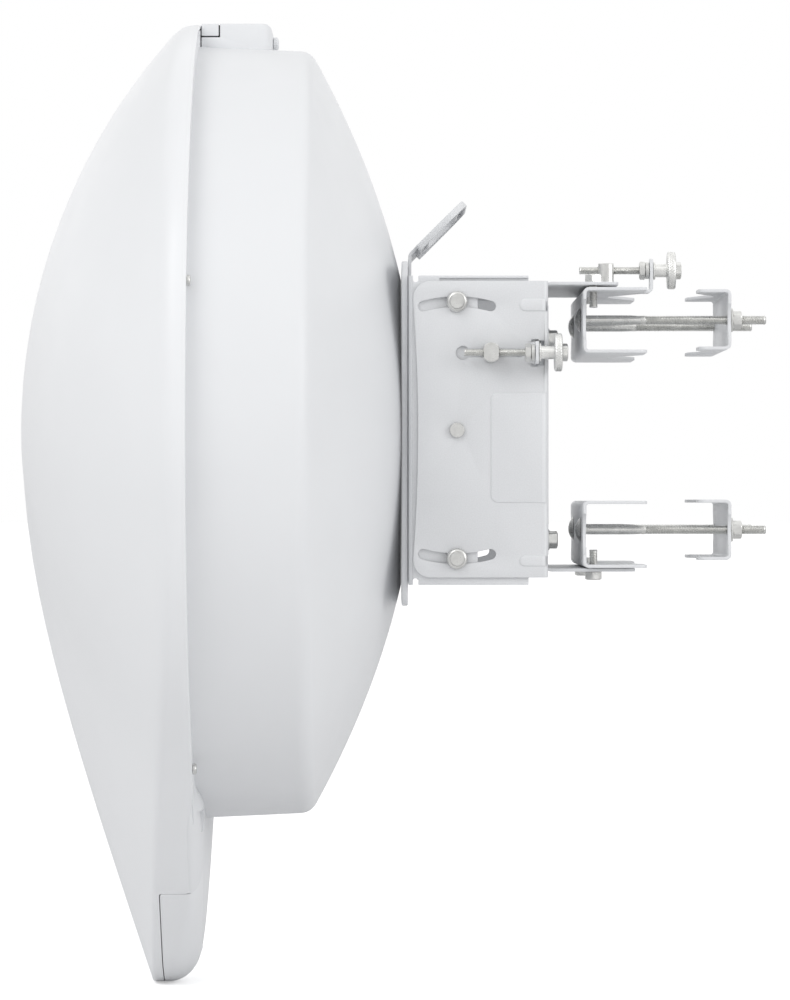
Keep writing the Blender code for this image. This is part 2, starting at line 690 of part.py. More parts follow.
def arm_cuts(notch_half, notch_y, rear_y):
    """Curved slots for the two lock bolts, the pivot hole and the notch that clears the mast."""
    cuts = []
    for middle in (0, 180):
        outline = curved_slot((0, AZIMUTH_Y), AZIMUTH_LOCK_X, middle, AZIMUTH_SLOT_ANGLE, 6.7)
        cuts.append(prism("Z", outline, -100, 100))
    cuts.append(rod("Z", (0, AZIMUTH_Y, 0), [(M6_HOLE, -100, 100)]))
    cuts.append(prism("Z", [(0, notch_y), (notch_half, rear_y + 1), (-notch_half, rear_y + 1)], -100, 100))
    return cuts


def arm_solid(foot_z, face_z, rear_y):
    """An L-shaped arm: a foot inside the bracket's web and a level leg towards the mast."""
    inner_z = face_z - math.copysign(SHEET, face_z)
    foot = (ARM_FOOT_Y, ARM_FOOT_Y + SHEET)
    return prism("X", [(foot[0], foot_z), (foot[1], foot_z), (foot[1], inner_z), (rear_y, inner_z),
                       (rear_y, face_z), (foot[0], face_z)], -ARM_HALF, ARM_HALF)


def make_arms(parent, finish):
    x = AZIMUTH_SCREW[0]
    pin_slot = prism("Z", slot((x - 1.6, AZIMUTH_TRUNNION_Y), (x + 1, AZIMUTH_TRUNNION_Y), 6.2), 80, 100)
    add("upper_arm", arm_solid(*UPPER_ARM), finish, parent,
        cuts=[*arm_cuts(16, 38, UPPER_ARM[2]), pin_slot, *arm_bolt_holes()])
    add("lower_arm", arm_solid(*LOWER_ARM), finish, parent,
        cuts=[*arm_cuts(56, 38, LOWER_ARM[2]), *arm_bolt_holes()])


def make_arm_bolts(parent, finish):
    for side, sign in SIDES:
        for label, z in zip(("upper", "lower"), ARM_BOLT_Z):
            x = sign * ARM_BOLT_X
            head = prism("Y", hexagon((x, z), HEX), GAP, 6.6)
            shank = rod("Y", (x, 0, z), [(3.0, ARM_FOOT_Y - 4, 3)], 12)
            add(f"arm_bolt_{label}_{side}", head, finish, parent, joined=[shank])


def loop_solid():
    """The lifting loop: a flat ring that leans back at 45 degrees from the top of the bracket's web."""
    near, far = LOOP_ENDS
    ring = prism("Z", rounded((-LOOP_HALF, near), (LOOP_HALF, far), 15), -LOOP_THICKNESS, 0,
                 holes=[rounded((14 - LOOP_HALF, near + 9), (LOOP_HALF - 14, far - 9), 8)])
    bmesh.ops.rotate(ring, verts=ring.verts[:], cent=(0, 0, 0),
                     matrix=Matrix.Rotation(math.radians(45), 3, "X"))
    bmesh.ops.translate(ring, verts=ring.verts[:], vec=(0, INNER_WEB_Y[0], LOOP_FOOT_Z))
    return ring


def neck_solid():
    """The web's tongue, bent back at 45 degrees, that carries the lifting loop."""
    front, back = INNER_WEB_Y
    reach = 7.0
    inner_z = LOOP_FOOT_Z - SHEET * math.tan(math.radians(22.5))
    offset = SHEET / math.sqrt(2)
    return prism("X", [(front, INNER_HALF_Z - 2), (back, INNER_HALF_Z - 2), (back, inner_z),
                       (front + reach + offset, LOOP_FOOT_Z + reach - offset),
                       (front + reach, LOOP_FOOT_Z + reach), (front, LOOP_FOOT_Z)],
                 -LOOP_NECK_HALF, LOOP_NECK_HALF)


def make_inner_bracket(parent, finish):
    body = channel(INNER_HALF, *INNER_WEB_Y, INNER_LIP_REAR_Y, -INNER_HALF_Z, INNER_HALF_Z)
    lips = []
    side = INNER_SIDE_REAR_Y
    tab_low, tab_high = PIN_TAB_Z
    cuts = [box((-120, side, -91), (95, 0, 91))]
    cuts.append(prism("X", [(side, -91), (0, -91), (0, 91), (side, 91), (side, tab_high),
                            (PIN_TAB_REAR_Y, tab_high), (PIN_TAB_REAR_Y, tab_low), (side, tab_low)], 90, 120))
    for sign_x in (1, -1):
        for sign_z in (1, -1):
            across = sorted((sign_x * INNER_LIP_X, sign_x * (INNER_HALF - 1)))
            tall = sorted((sign_z * (INNER_HALF_Z - SHEET), sign_z * INNER_HALF_Z))
            lips.append(box((across[0], -82.1, tall[0]), (across[1], INNER_LIP_REAR_Y, tall[1])))
            wide = sorted((sign_x * 96, sign_x * 110))
            relief = sorted((sign_z * 92.9, sign_z * 100))
            cuts.append(box((wide[0], -84.7, relief[0]), (wide[1], -81.8, relief[1])))
    for z in (ELEVATION_SLOT_RADIUS, -ELEVATION_SLOT_RADIUS, 0):
        cuts.append(rod("X", (0, PIVOT_Y, z), [(M6_HOLE, -120, 120)]))
    lean = math.atan2(ELEVATION_TRUNNION_Y - PIVOT_Y, ELEVATION_SCREW[1])
    ends = [(PIVOT_Y + reach * math.sin(lean), reach * math.cos(lean)) for reach in (48.6, 58.6)]
    cuts.append(prism("X", slot(*ends, 6.8), 100, 115))
    add("inner_bracket", body, finish, parent, joined=[*lips, neck_solid(), loop_solid()], cuts=cuts)


def make_dish_plate(parent, finish):
    add("dish_plate", prism("Y", rounded((-100, -110.5), (100, 107), 14), *PLATE_Y), finish, parent)


def make_elevation_fasteners(parent, finish):
    for side, sign in SIDES:
        for label, z in (("upper", ELEVATION_SLOT_RADIUS), ("lower", -ELEVATION_SLOT_RADIUS)):
            head = sorted((sign * (OUTER_HALF + GAP), sign * (OUTER_HALF + 5.6)))
            shank = sorted((sign * 98, sign * (OUTER_HALF + 2)))
            disc = rod("X", (0, PIVOT_Y, z), [(6.55, *head)], 20)
            bar = rod("X", (0, PIVOT_Y, z), [(3.0, *shank)], 12)
            add(f"elevation_bolt_{label}_{side}", disc, finish, parent, joined=[bar], smooth=True)
        sections = [(3.0, 100, OUTER_HALF + GAP), (4.7, OUTER_HALF + GAP, OUTER_HALF + 2.6)]
        pin = rod("X", (0, PIVOT_Y, 0), sections)
        if sign < 0:
            pin = mirrored_x(pin)
        add(f"elevation_pivot_{side}", pin, finish, parent, smooth=True)


# ---------------------------------------------------------------- adjusters

def make_drive(name, parent, finish, place, spans):
    """An adjuster screw along Y with its captive collar nut and knurled knob."""
    x, z = place
    bar = rod("Y", (x, 0, z), [(2.5, *spans["screw"])])
    head = prism("Y", hexagon((x, z), HEX), *spans["head"])
    add(f"{name}_screw", head, finish, parent, joined=[bar])
    nut = prism("Y", hexagon((x, z), HEX), *spans["collar"], holes=[circle((x, z), M5_HOLE)])
    add(f"{name}_collar_nut", nut, finish, parent)
    hub_start = spans["hub"][0]
    low, high = spans["knob"]
    turned = lathe("Y", (x, 0, z), [(M5_HOLE, hub_start), (HUB_RADIUS, hub_start), (HUB_RADIUS, low),
                                    (KNOB_RADIUS, low), (KNOB_RADIUS, high), (M5_HOLE, high)], 32)
    add(f"{name}_knob", turned, finish, parent, smooth=True)


def trunnion_cuts(low, high, y, place):
    """The bore for the screw, and the two flats that face along it, over a box in X and Z."""
    cuts = [rod("Y", (place[0], 0, place[1]), [(M5_HOLE, y - 10, y + 10)], 12)]
    for near, far in ((TRUNNION_FLATS, 9), (-9, -TRUNNION_FLATS)):
        cuts.append(box((low[0], y + near, low[1]), (high[0], y + far, high[1])))
    return cuts


def make_elevation_trunnion(parent, finish):
    x, z = ELEVATION_SCREW
    y = ELEVATION_TRUNNION_Y
    shoulder = OUTER_HALF + GAP
    end = x + 5.5
    sections = [(TRUNNION_PIN, INNER_HALF - 3.4, shoulder), (TRUNNION_RADIUS, shoulder, end)]
    body = rod("X", (0, y, z), sections, 24)
    add("elevation_trunnion", body, finish, parent, smooth=True,
        cuts=trunnion_cuts((shoulder - 1, z - 9), (end + 1, z + 9), y, ELEVATION_SCREW))


def make_azimuth_trunnion(parent, finish):
    x, z = AZIMUTH_SCREW
    y = AZIMUTH_TRUNNION_Y
    shoulder = UPPER_ARM[1] + GAP
    end = z + 4.5
    sections = [(TRUNNION_PIN, shoulder - 3, shoulder), (TRUNNION_RADIUS, shoulder, end)]
    body = rod("Z", (x, y, 0), sections, 24)
    add("azimuth_trunnion", body, finish, parent, smooth=True,
        cuts=trunnion_cuts((x - 9, shoulder - 1), (x + 9, end + 1), y, AZIMUTH_SCREW))


# ---------------------------------------------------------------- mast clamps

def clamp_profile(web, tip_y, low_z, high_z):
    """A channel section in Y and Z, open towards tip_y."""
    outer, inner = web
    return [(tip_y, low_z), (outer, low_z), (outer, high_z), (tip_y, high_z),
            (tip_y, high_z - SHEET), (inner, high_z - SHEET), (inner, low_z + SHEET), (tip_y, low_z + SHEET)]


def notch(half, floor_y, tip_y, low_z, high_z):
    """The V with a flat floor that the mast sits in, cut through both flanges."""
    beyond = tip_y + math.copysign(2, tip_y - floor_y)
    floor = NOTCH_FLOOR_HALF
    outline = [(-floor, floor_y), (floor, floor_y), (half, tip_y), (half, beyond), (-half, beyond),
               (-half, tip_y)]
    return prism("Z", outline, low_z - 1, high_z + 1)


def rod_holes(rod_z, low_y, high_y):
    return [rod("Y", (sign * ROD_X, 0, rod_z), [(M6_HOLE + 0.1, low_y, high_y)], 12) for sign in (1, -1)]


def make_front_clamps(parent, finish):
    web = (CLAMP_WEB_Y, CLAMP_WEB_Y + SHEET)
    for label, span, rod_z, flange_z in (("upper", UPPER_CLAMP_Z, UPPER_ROD_Z, UPPER_CLAMP_Z[1]),
                                         ("lower", LOWER_CLAMP_Z, LOWER_ROD_Z, LOWER_CLAMP_Z[0])):
        body = prism("X", clamp_profile(web, CLAMP_TIP_Y, *span), -CLAMP_HALF, CLAMP_HALF)
        cuts = [notch(*CLAMP_NOTCH, CLAMP_TIP_Y, *span)]
        cuts += rod_holes(rod_z, CLAMP_WEB_Y - 2, CLAMP_WEB_Y + 4)
        for x in (0, AZIMUTH_LOCK_X, -AZIMUTH_LOCK_X):
            cuts.append(rod("Z", (x, AZIMUTH_Y, 0), [(M6_HOLE, flange_z - 4, flange_z + 4)], 12))
        joined = []
        if label == "upper":
            x, z = AZIMUTH_SCREW
            top = UPPER_CLAMP_Z[1]
            joined.append(box((x - 8, CLAMP_TIP_Y - 3, top - SHEET), (x + 8, 67.7, top)))
            joined.append(box((x - 8, 65.7, top - SHEET), (x + 8, 67.7, z + 7.5)))
            cuts.append(rod("Y", (x, 0, z), [(M5_HOLE, 60, 72)], 12))
        add(f"front_clamp_{label}", body, finish, parent, joined=joined, cuts=cuts)


def make_clamp_rods(parent, finish):
    back_of_head = CLAMP_WEB_Y - GAP
    radius = 7.65
    sphere = (radius ** 2 + 9) / 6
    dome = [(0, ROD_HEAD_Y)]
    for step in (1, 2, 3):
        reach = radius * step / 3
        dome.append((reach, ROD_HEAD_Y + sphere - math.sqrt(sphere ** 2 - reach ** 2)))
    profile = dome + [(radius, back_of_head), (3.05, back_of_head), (3.05, 62.0), (2.85, 64.0),
                      (2.85, ROD_END_Y), (0, ROD_END_Y)]
    for label, z in (("upper", UPPER_ROD_Z), ("lower", LOWER_ROD_Z)):
        for side, sign in SIDES:
            add(f"clamp_rod_{label}_{side}", lathe("Y", (sign * ROD_X, 0, z), profile), finish, parent,
                smooth=True)


def make_azimuth_fasteners(parent, finish):
    for label, outward, arm, end in (("upper", 1, UPPER_ARM, 77.7), ("lower", -1, LOWER_ARM, -75.0)):
        arm_face = arm[1] + outward * GAP
        for side, sign in SIDES:
            x = sign * AZIMUTH_LOCK_X
            head = sorted((arm_face, arm_face + outward * 5.0))
            shank = sorted((end, arm_face + outward * 1.0))
            block = prism("Z", hexagon((x, AZIMUTH_Y), HEX), *head)
            bar = rod("Z", (x, AZIMUTH_Y, 0), [(2.75, *shank)], 12)
            add(f"azimuth_bolt_{label}_{side}", block, finish, parent, joined=[bar])
        rivet = [(6.0, *sorted((arm_face, arm_face + outward * 2.4)))]
        stem = [(3.0, *sorted((end + outward * 6, arm_face)))]
        ordered = stem + rivet if outward > 0 else rivet + stem
        add(f"azimuth_pivot_{label}", rod("Z", (0, AZIMUTH_Y, 0), ordered), finish, parent, smooth=True)


def make_rear_clamp(label, parent, rod_z, paint, steel):
    span = (rod_z - REAR_HEIGHT / 2, rod_z + REAR_HEIGHT / 2)
    body = prism("X", clamp_profile((REAR_WEB_Y[1], REAR_WEB_Y[0]), REAR_TIP_Y, *span), -REAR_HALF, REAR_HALF)
    add(f"rear_clamp_{label}", body, paint, parent,
        cuts=[notch(*REAR_NOTCH, REAR_TIP_Y, *span), *rod_holes(rod_z, 112, 120)])
    washer_end = REAR_WEB_Y[1] + GAP + 1.4
    for side, sign in SIDES:
        place = (sign * ROD_X, rod_z)
        nut = prism("Y", hexagon(place, HEX), washer_end - 0.5, 124.4, holes=[circle(place, 3.3, 12)])
        washer = prism("Y", circle(place, 7.6, 24), REAR_WEB_Y[1] + GAP, washer_end,
                       holes=[circle(place, 3.3, 12)])
        add(f"clamp_nut_{label}_{side}", nut, steel, parent, joined=[washer])


# ---------------------------------------------------------------- assembly

def clear_scene():
    for item in list(bpy.data.objects):
        bpy.data.objects.remove(item, do_unlink=True)


def build():
    clear_scene()
    finishes = make_materials()
    frames = make_bodies()
    mast = frames["mast_frame"]
    azimuth = frames["azimuth_frame"]
    elevation = frames["elevation_frame"]

    make_front_clamps(mast, finishes["paint"])
    make_clamp_rods(mast, finishes["steel"])
    make_azimuth_fasteners(mast, finishes["steel"])

    make_outer_bracket(azimuth, finishes["paint"])
    make_arms(azimuth, finishes["paint"])
    make_arm_bolts(azimuth, finishes["steel"])

    make_dish_plate(elevation, finishes["paint"])
    make_inner_bracket(elevation, finishes["paint"])
    make_elevation_fasteners(elevation, finishes["steel"])

    make_rear_shell(elevation, finishes["housing"])
    make_radome(elevation, finishes["radome"])
    make_rim_seal(elevation, finishes["rubber"])
    make_reflector(elevation, finishes["aluminium"])
    make_feed(elevation, finishes["aluminium"], finishes["housing"])
    make_electronics(elevation, finishes)
    make_radome_screws(elevation, finishes["steel"])
    make_pod(elevation, finishes["housing"])
    make_pod_screw(frames["pod_screw_frame"], finishes["housing"])
    make_port_cover(frames["cover_frame"], finishes["radome"])

    steel = finishes["steel"]
    make_drive("elevation", frames["elevation_drive_frame"], steel, ELEVATION_SCREW, ELEVATION_DRIVE)
    make_elevation_trunnion(frames["elevation_trunnion_frame"], steel)
    make_drive("azimuth", frames["azimuth_drive_frame"], steel, AZIMUTH_SCREW, AZIMUTH_DRIVE)
    make_azimuth_trunnion(frames["azimuth_trunnion_frame"], steel)

    make_rear_clamp("upper", frames["upper_rear_frame"], UPPER_ROD_Z, finishes["paint"], steel)
    make_rear_clamp("lower", frames["lower_rear_frame"], LOWER_ROD_Z, finishes["paint"], steel)


build()
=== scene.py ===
"""The looks of the outdoor wireless bridge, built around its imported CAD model.

Sizes are in millimetres from the hub: the middle of the bracket's rear web face, at the height of
the dish axis. Places and main sizes are read from the CAD nodes with span(); the constants below
are the details that the CAD model leaves plain.
"""

import json
import math

import bmesh
import bpy
from mathutils import Matrix, Vector


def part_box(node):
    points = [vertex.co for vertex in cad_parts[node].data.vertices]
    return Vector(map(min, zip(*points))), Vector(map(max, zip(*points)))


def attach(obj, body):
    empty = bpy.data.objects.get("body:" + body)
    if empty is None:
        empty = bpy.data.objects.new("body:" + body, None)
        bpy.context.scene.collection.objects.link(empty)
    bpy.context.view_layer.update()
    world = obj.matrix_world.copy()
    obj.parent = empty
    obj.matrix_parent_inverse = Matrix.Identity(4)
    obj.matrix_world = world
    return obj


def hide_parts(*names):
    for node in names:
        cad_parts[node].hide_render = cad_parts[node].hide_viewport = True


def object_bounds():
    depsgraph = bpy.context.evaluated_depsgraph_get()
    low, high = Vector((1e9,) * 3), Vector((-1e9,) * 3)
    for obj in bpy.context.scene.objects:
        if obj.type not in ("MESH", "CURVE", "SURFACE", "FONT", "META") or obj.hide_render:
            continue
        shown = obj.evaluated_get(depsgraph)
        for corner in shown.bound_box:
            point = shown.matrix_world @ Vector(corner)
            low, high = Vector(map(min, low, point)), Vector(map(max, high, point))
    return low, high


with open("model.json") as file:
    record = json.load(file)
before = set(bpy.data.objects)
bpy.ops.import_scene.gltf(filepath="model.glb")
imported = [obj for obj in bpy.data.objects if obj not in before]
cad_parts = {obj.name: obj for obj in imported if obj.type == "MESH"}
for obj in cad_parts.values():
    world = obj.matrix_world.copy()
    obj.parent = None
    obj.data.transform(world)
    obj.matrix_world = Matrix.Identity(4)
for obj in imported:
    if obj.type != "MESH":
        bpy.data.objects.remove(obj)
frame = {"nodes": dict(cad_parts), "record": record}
CAD_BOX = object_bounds()

MM = 0.001
BEHAVIOUR = frame["record"]["behaviour"]
BODY_OF = {node: body for body, nodes in BEHAVIOUR["bodies"].items() for node in nodes}
JOINT_AT = {joint["name"]: Vector(joint["pos_m"]) for joint in BEHAVIOUR["joints"] if "pos_m" in joint}
HUB = Vector((0.0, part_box("outer_bracket")[1].y, JOINT_AT["elevation"].z))


def span(node):
    """A CAD node's lowest and highest corners, in millimetres from the hub."""
    low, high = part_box(node)
    return (low - HUB) / MM, (high - HUB) / MM


def middle(node):
    low, high = span(node)
    return (low + high) / 2


# Radome and chin
RADOME_LOW, RADOME_HIGH = span("radome")
COVER_LOW, COVER_HIGH = span("port_cover")
RADOME_RADIUS = RADOME_HIGH.x - 0.02
RADOME_FRONT = RADOME_LOW.y
RADOME_RIM = RADOME_HIGH.y
CHIN_RADIUS = 70.0
CHIN_Z = COVER_LOW.z + CHIN_RADIUS
DOME_SPHERE = 382.0             # radius of the dome's upper half
CHIN_LENGTH = 352.0
CHIN_DROP = 84.8                # how far the chin's lowest edge lies behind the dome's front
RADOME_WALL = 2.5
DOME_EDGE = 7.0                 # size of the soft fold between dome and rim band
CHIN_EDGE = 1.8                 # the fold's size at the chin's bottom
RIM_CHIN_DIP = 5.0              # how far the rim along the chin lies in front of the rest
RIM_DIP_Z = (-222.0, -252.0)    # the heights between which the rim dips along the chin
LID_RISE_Z = (-237.0, -252.0)   # and those between which the chin's back rises from the flange
LID_WALL = 6.0
FLANGE_Y = -221.4
LID_EDGE = 24.0                 # width of the chin's rounded rear edge
SEAM = 0.45                     # visible gap around covers
SEAM_CORNER = 2.2
SEAM_UP = 2.6                   # how far the visible seams lie from the CAD cover's edges
SEAM_BACK = 1.5
OUTLINE_STEPS = 150             # columns on each side of the radome

# Rear shell
SHELL_DRAFT = (249.6, 246.6)    # drum radius at its flange and at its crease
SHELL_CREASE_Y = -152.5
SHELL_CREASE = 8.0
BOWL_APEX = -81.3
BOWL_CURVE = 0.00114
SHELL_WALL = 3.0

SHEET = 2.0                     # bracket and clamp sheet
BEND = 1.6                      # inner bend radius of the sheet
EMBOSS = 0.7
ROUND = 48                      # facets around turned pieces


# ---------------------------------------------------------------- outlines

def arc(centre, radius, start, end, steps=None):
    """Points on an arc, angles in degrees, both ends included."""
    steps = steps or max(2, math.ceil(abs(end - start) / 7.5))
    points = []
    for step in range(steps + 1):
        angle = math.radians(start + (end - start) * step / steps)
        points.append((centre[0] + radius * math.cos(angle), centre[1] + radius * math.sin(angle)))
    return points


def circle(centre, radius, steps=ROUND):
    return arc(centre, radius, 0, 360 - 360 / steps, steps - 1)


def fillet(corners):
    """A closed outline through (a, b, radius) corners, each rounded by its radius."""
    points = []
    for index, (a, b, radius) in enumerate(corners):
        here = Vector((a, b))
        if radius == 0:
            points.append((a, b))
            continue
        before = (Vector(corners[index - 1][:2]) - here).normalized()
        after = (Vector(corners[(index + 1) % len(corners)][:2]) - here).normalized()
        half = before.angle(after) / 2
        centre = here + (before + after).normalized() * (radius / math.sin(half))
        first = here + before * (radius / math.tan(half)) - centre
        last = here + after * (radius / math.tan(half)) - centre
        start = math.degrees(math.atan2(first.y, first.x))
        turn = (math.degrees(math.atan2(last.y, last.x)) - start + 180) % 360 - 180
        points += arc(centre, radius, start, start + turn)
    return points


def rounded(low, high, radius):
    return fillet([(low[0], low[1], radius), (high[0], low[1], radius),
                   (high[0], high[1], radius), (low[0], high[1], radius)])


def slot(start, end, width):
    """A straight slot between two end centres."""
    heading = math.degrees(math.atan2(end[1] - start[1], end[0] - start[0]))
    points = arc(end, width / 2, heading - 90, heading + 90, 12)
    return points + arc(start, width / 2, heading + 90, heading + 270, 12)


def curved_slot(pivot, radius, centre_angle, half_angle, width):
    """A slot that follows an arc about a pivot."""
    low = centre_angle - half_angle
    high = centre_angle + half_angle
    ends = []
    for angle in (low, high):
        turned_to = math.radians(angle)
        ends.append((pivot[0] + radius * math.cos(turned_to), pivot[1] + radius * math.sin(turned_to)))
    points = arc(pivot, radius + width / 2, low, high, 16)
    points += arc(ends[1], width / 2, high, high + 180, 12)[1:-1]
    points += arc(pivot, radius - width / 2, high, low, 16)
    points += arc(ends[0], width / 2, low + 180, low + 360, 12)[1:-1]
    return points


def smoothstep(low, high, value):
    share = min(1.0, max(0.0, (value - low) / (high - low)))
    return share * share * (3 - 2 * share)


def mix(first, second, share):
    return first + (second - first) * share


# ---------------------------------------------------------------- solids

PLANES = {
    "X": lambda a, b, depth: Vector((depth, a, b)),
    "Y": lambda a, b, depth: Vector((a, depth, b)),
    "Z": lambda a, b, depth: Vector((a, b, depth)),
}


def prism(normal, outline, low, high, holes=()):
    """An outline, with holes, in the plane across `normal`, extruded from low to high."""
    place = PLANES[normal]
    mesh = bmesh.new()
    edges = []
    for loop in (outline, *holes):
        ring = [mesh.verts.new(place(*point, low)) for point in loop]
        for index, vertex in enumerate(ring):
            edges.append(mesh.edges.new((vertex, ring[(index + 1) % len(ring)])))
    bmesh.ops.triangle_fill(mesh, use_beauty=True, use_dissolve=False, edges=edges)
    grown = bmesh.ops.extrude_face_region(mesh, geom=mesh.faces[:])
    moved = [item for item in grown["geom"] if isinstance(item, bmesh.types.BMVert)]
    bmesh.ops.translate(mesh, verts=moved, vec=place(0, 0, high - low))
    bmesh.ops.recalc_face_normals(mesh, faces=mesh.faces[:])
    return mesh


def box(low, high):
    corners = [(low[0], low[1]), (high[0], low[1]), (high[0], high[1]), (low[0], high[1])]
    return prism("Z", corners, low[2], high[2])


def skin(mesh, first, second):
    """Faces between two rings; a ring of one vertex is a tip."""
    count = max(len(first), len(second))
    for index in range(count):
        after = (index + 1) % count
        corners = [first[index % len(first)], first[after % len(first)],
                   second[after % len(second)], second[index % len(second)]]
        unique = list(dict.fromkeys(corners))
        if len(unique) > 2:
            mesh.faces.new(unique)


def loft(outlines):
    """A closed solid through equal outlines, each a list of points in space."""
    mesh = bmesh.new()
    loops = [[mesh.verts.new(point) for point in outline] for outline in outlines]
    for first, second in zip(loops, loops[1:]):
        skin(mesh, first, second)
    mesh.faces.new(loops[0])
    mesh.faces.new(loops[-1])
    bmesh.ops.recalc_face_normals(mesh, faces=mesh.faces[:])
    return mesh


def turned(axis, centre, rings, steps=ROUND):
    """A solid through rings along an axis. A ring is (radius, distance), and its radius is a number
    or a function of angle and distance. Radius 0 closes an end; without it the solid has a bore."""
    place = PLANES[axis]
    centre = Vector(centre)
    mesh = bmesh.new()
    loops = []
    for radius, along in rings:
        if radius == 0:
            loops.append([mesh.verts.new(centre + place(0, 0, along))])
            continue
        loop = []
        for index in range(steps):
            angle = math.tau * index / steps
            reach = radius(angle, along) if callable(radius) else radius
            offset = place(reach * math.cos(angle), reach * math.sin(angle), along)
            loop.append(mesh.verts.new(centre + offset))
        loops.append(loop)
    for first, second in zip(loops, loops[1:]):
        skin(mesh, first, second)
    if len(loops[0]) > 1:
        skin(mesh, loops[-1], loops[0])
    bmesh.ops.recalc_face_normals(mesh, faces=mesh.faces[:])
    return mesh


def merged(meshes):
    """One mesh that holds several."""
    whole = bmesh.new()
    for mesh in meshes:
        data = bpy.data.meshes.new("part")
        mesh.to_mesh(data)
        whole.from_mesh(data)
        bpy.data.meshes.remove(data)
        mesh.free()
    return whole


def helper(mesh):
    data = bpy.data.meshes.new("helper")
    mesh.to_mesh(data)
    mesh.free()
    made = bpy.data.objects.new("helper", data)
    bpy.context.scene.collection.objects.link(made)
    return made


def combine(solid, others, operation):
    """The solid joined with, cut by, or kept inside the others."""
    base = helper(solid)
    tools = [helper(merged(others))] if operation == "DIFFERENCE" else [helper(other) for other in others]
    for tool in tools:
        modifier = base.modifiers.new("boolean", "BOOLEAN")
        modifier.operation = operation
        modifier.solver = "EXACT"
        modifier.use_self = operation == "DIFFERENCE"
        modifier.object = tool
    evaluated = base.evaluated_get(bpy.context.evaluated_depsgraph_get())
    result = bmesh.new()
    result.from_mesh(evaluated.to_mesh())
    evaluated.to_mesh_clear()
    for item in (base, *tools):
        data = item.data
        bpy.data.objects.remove(item)
        bpy.data.meshes.remove(data)
    return result


def cut(solid, others):
    return combine(solid, others, "DIFFERENCE")


def join(solid, others):
    return combine(solid, others, "UNION")


def common(solid, others):
    return combine(solid, others, "INTERSECT")


def soften(mesh, width=0.3, angle=40.0, segments=2):
    """Rounds the sharp outward edges, as tumbling or moulding would."""
    bmesh.ops.remove_doubles(mesh, verts=mesh.verts[:], dist=0.002)
    bmesh.ops.dissolve_limit(mesh, angle_limit=math.radians(0.8), verts=mesh.verts[:], edges=mesh.edges[:])
    many_sided = [face for face in mesh.faces if len(face.verts) > 8]
    bmesh.ops.triangulate(mesh, faces=many_sided, ngon_method="BEAUTY")
    limit = math.radians(angle)
    sharp = [edge for edge in mesh.edges
             if edge.is_manifold and edge.is_convex and edge.calc_face_angle(0) > limit]
    bmesh.ops.bevel(mesh, geom=sharp, offset=width, offset_type="OFFSET", segments=segments,
                    profile=0.5, affect="EDGES", clamp_overlap=False)
    return mesh


def mirrored_x(mesh):
    copy = mesh.copy()
    bmesh.ops.scale(copy, vec=(-1, 1, 1), verts=copy.verts[:])
    bmesh.ops.reverse_faces(copy, faces=copy.faces[:])
    return copy


# ---------------------------------------------------------------- turned shapes

def hexagonal(flats, turn=0.0, faces=(), corner=0.485):
    """Radius of a hexagon whose flat faces `turn` degrees, chamfered towards each of its end faces."""
    def radius(angle, along):
        away = (angle - math.radians(turn) + math.pi / 6) % (math.pi / 3) - math.pi / 6
        shape = flats / 2 / math.cos(away)
        for face in faces:
            shape = min(shape, corner * flats + abs(along - face) * 1.73)
        return shape
    return radius


def hex_rings(flats, start, end, turn=0.0, both=False):
    """Rings of a hexagon along an axis, chamfered at its far end, and at both if asked."""
    way = math.copysign(1, end - start)
    faces = (start, end) if both else (end,)
    shape = hexagonal(flats, turn, faces)
    steps = (0, 0.12, 0.25, 0.4, 0.6)
    first = [start + way * step for step in steps] if both else [start]
    last = [end - way * step for step in reversed(steps)]
    return [(shape, along) for along in first + last]


def thread_rings(radius, pitch, start, end):
    """Rings of a V thread between two places along an axis, faded out at both ends."""
    depth = 0.58 * pitch
    fade = pitch * 1.2

    def helix(angle, along):
        phase = (along / pitch - angle / math.tau) % 1
        ends = min(abs(along - start), abs(along - end)) / fade
        return radius - depth * abs(2 * phase - 1) * min(1.0, 0.25 + ends)

    count = math.ceil(abs(end - start) / pitch * 5)
    return [(helix, start + (end - start) * step / count) for step in range(count + 1)]


def bored_hex(axis, centre, flats, start, end, bore, turn=0.0):
    """A nut: a hexagon chamfered on both faces, with a countersunk bore."""
    rings = hex_rings(flats, start, end, turn, both=True)
    way = math.copysign(0.5, end - start)
    rings += [(bore + 0.5, end), (bore, end - way), (bore, start + way), (bore + 0.5, start)]
    return turned(axis, centre, rings)


def washer(axis, centre, radius, bore, start, end):
    edge = math.copysign(0.25, end - start)
    rings = [(radius - 0.25, start), (radius, start + edge), (radius, end - edge), (radius - 0.25, end),
             (bore, end), (bore, start)]
    return turned(axis, centre, rings)


# ---------------------------------------------------------------- materials

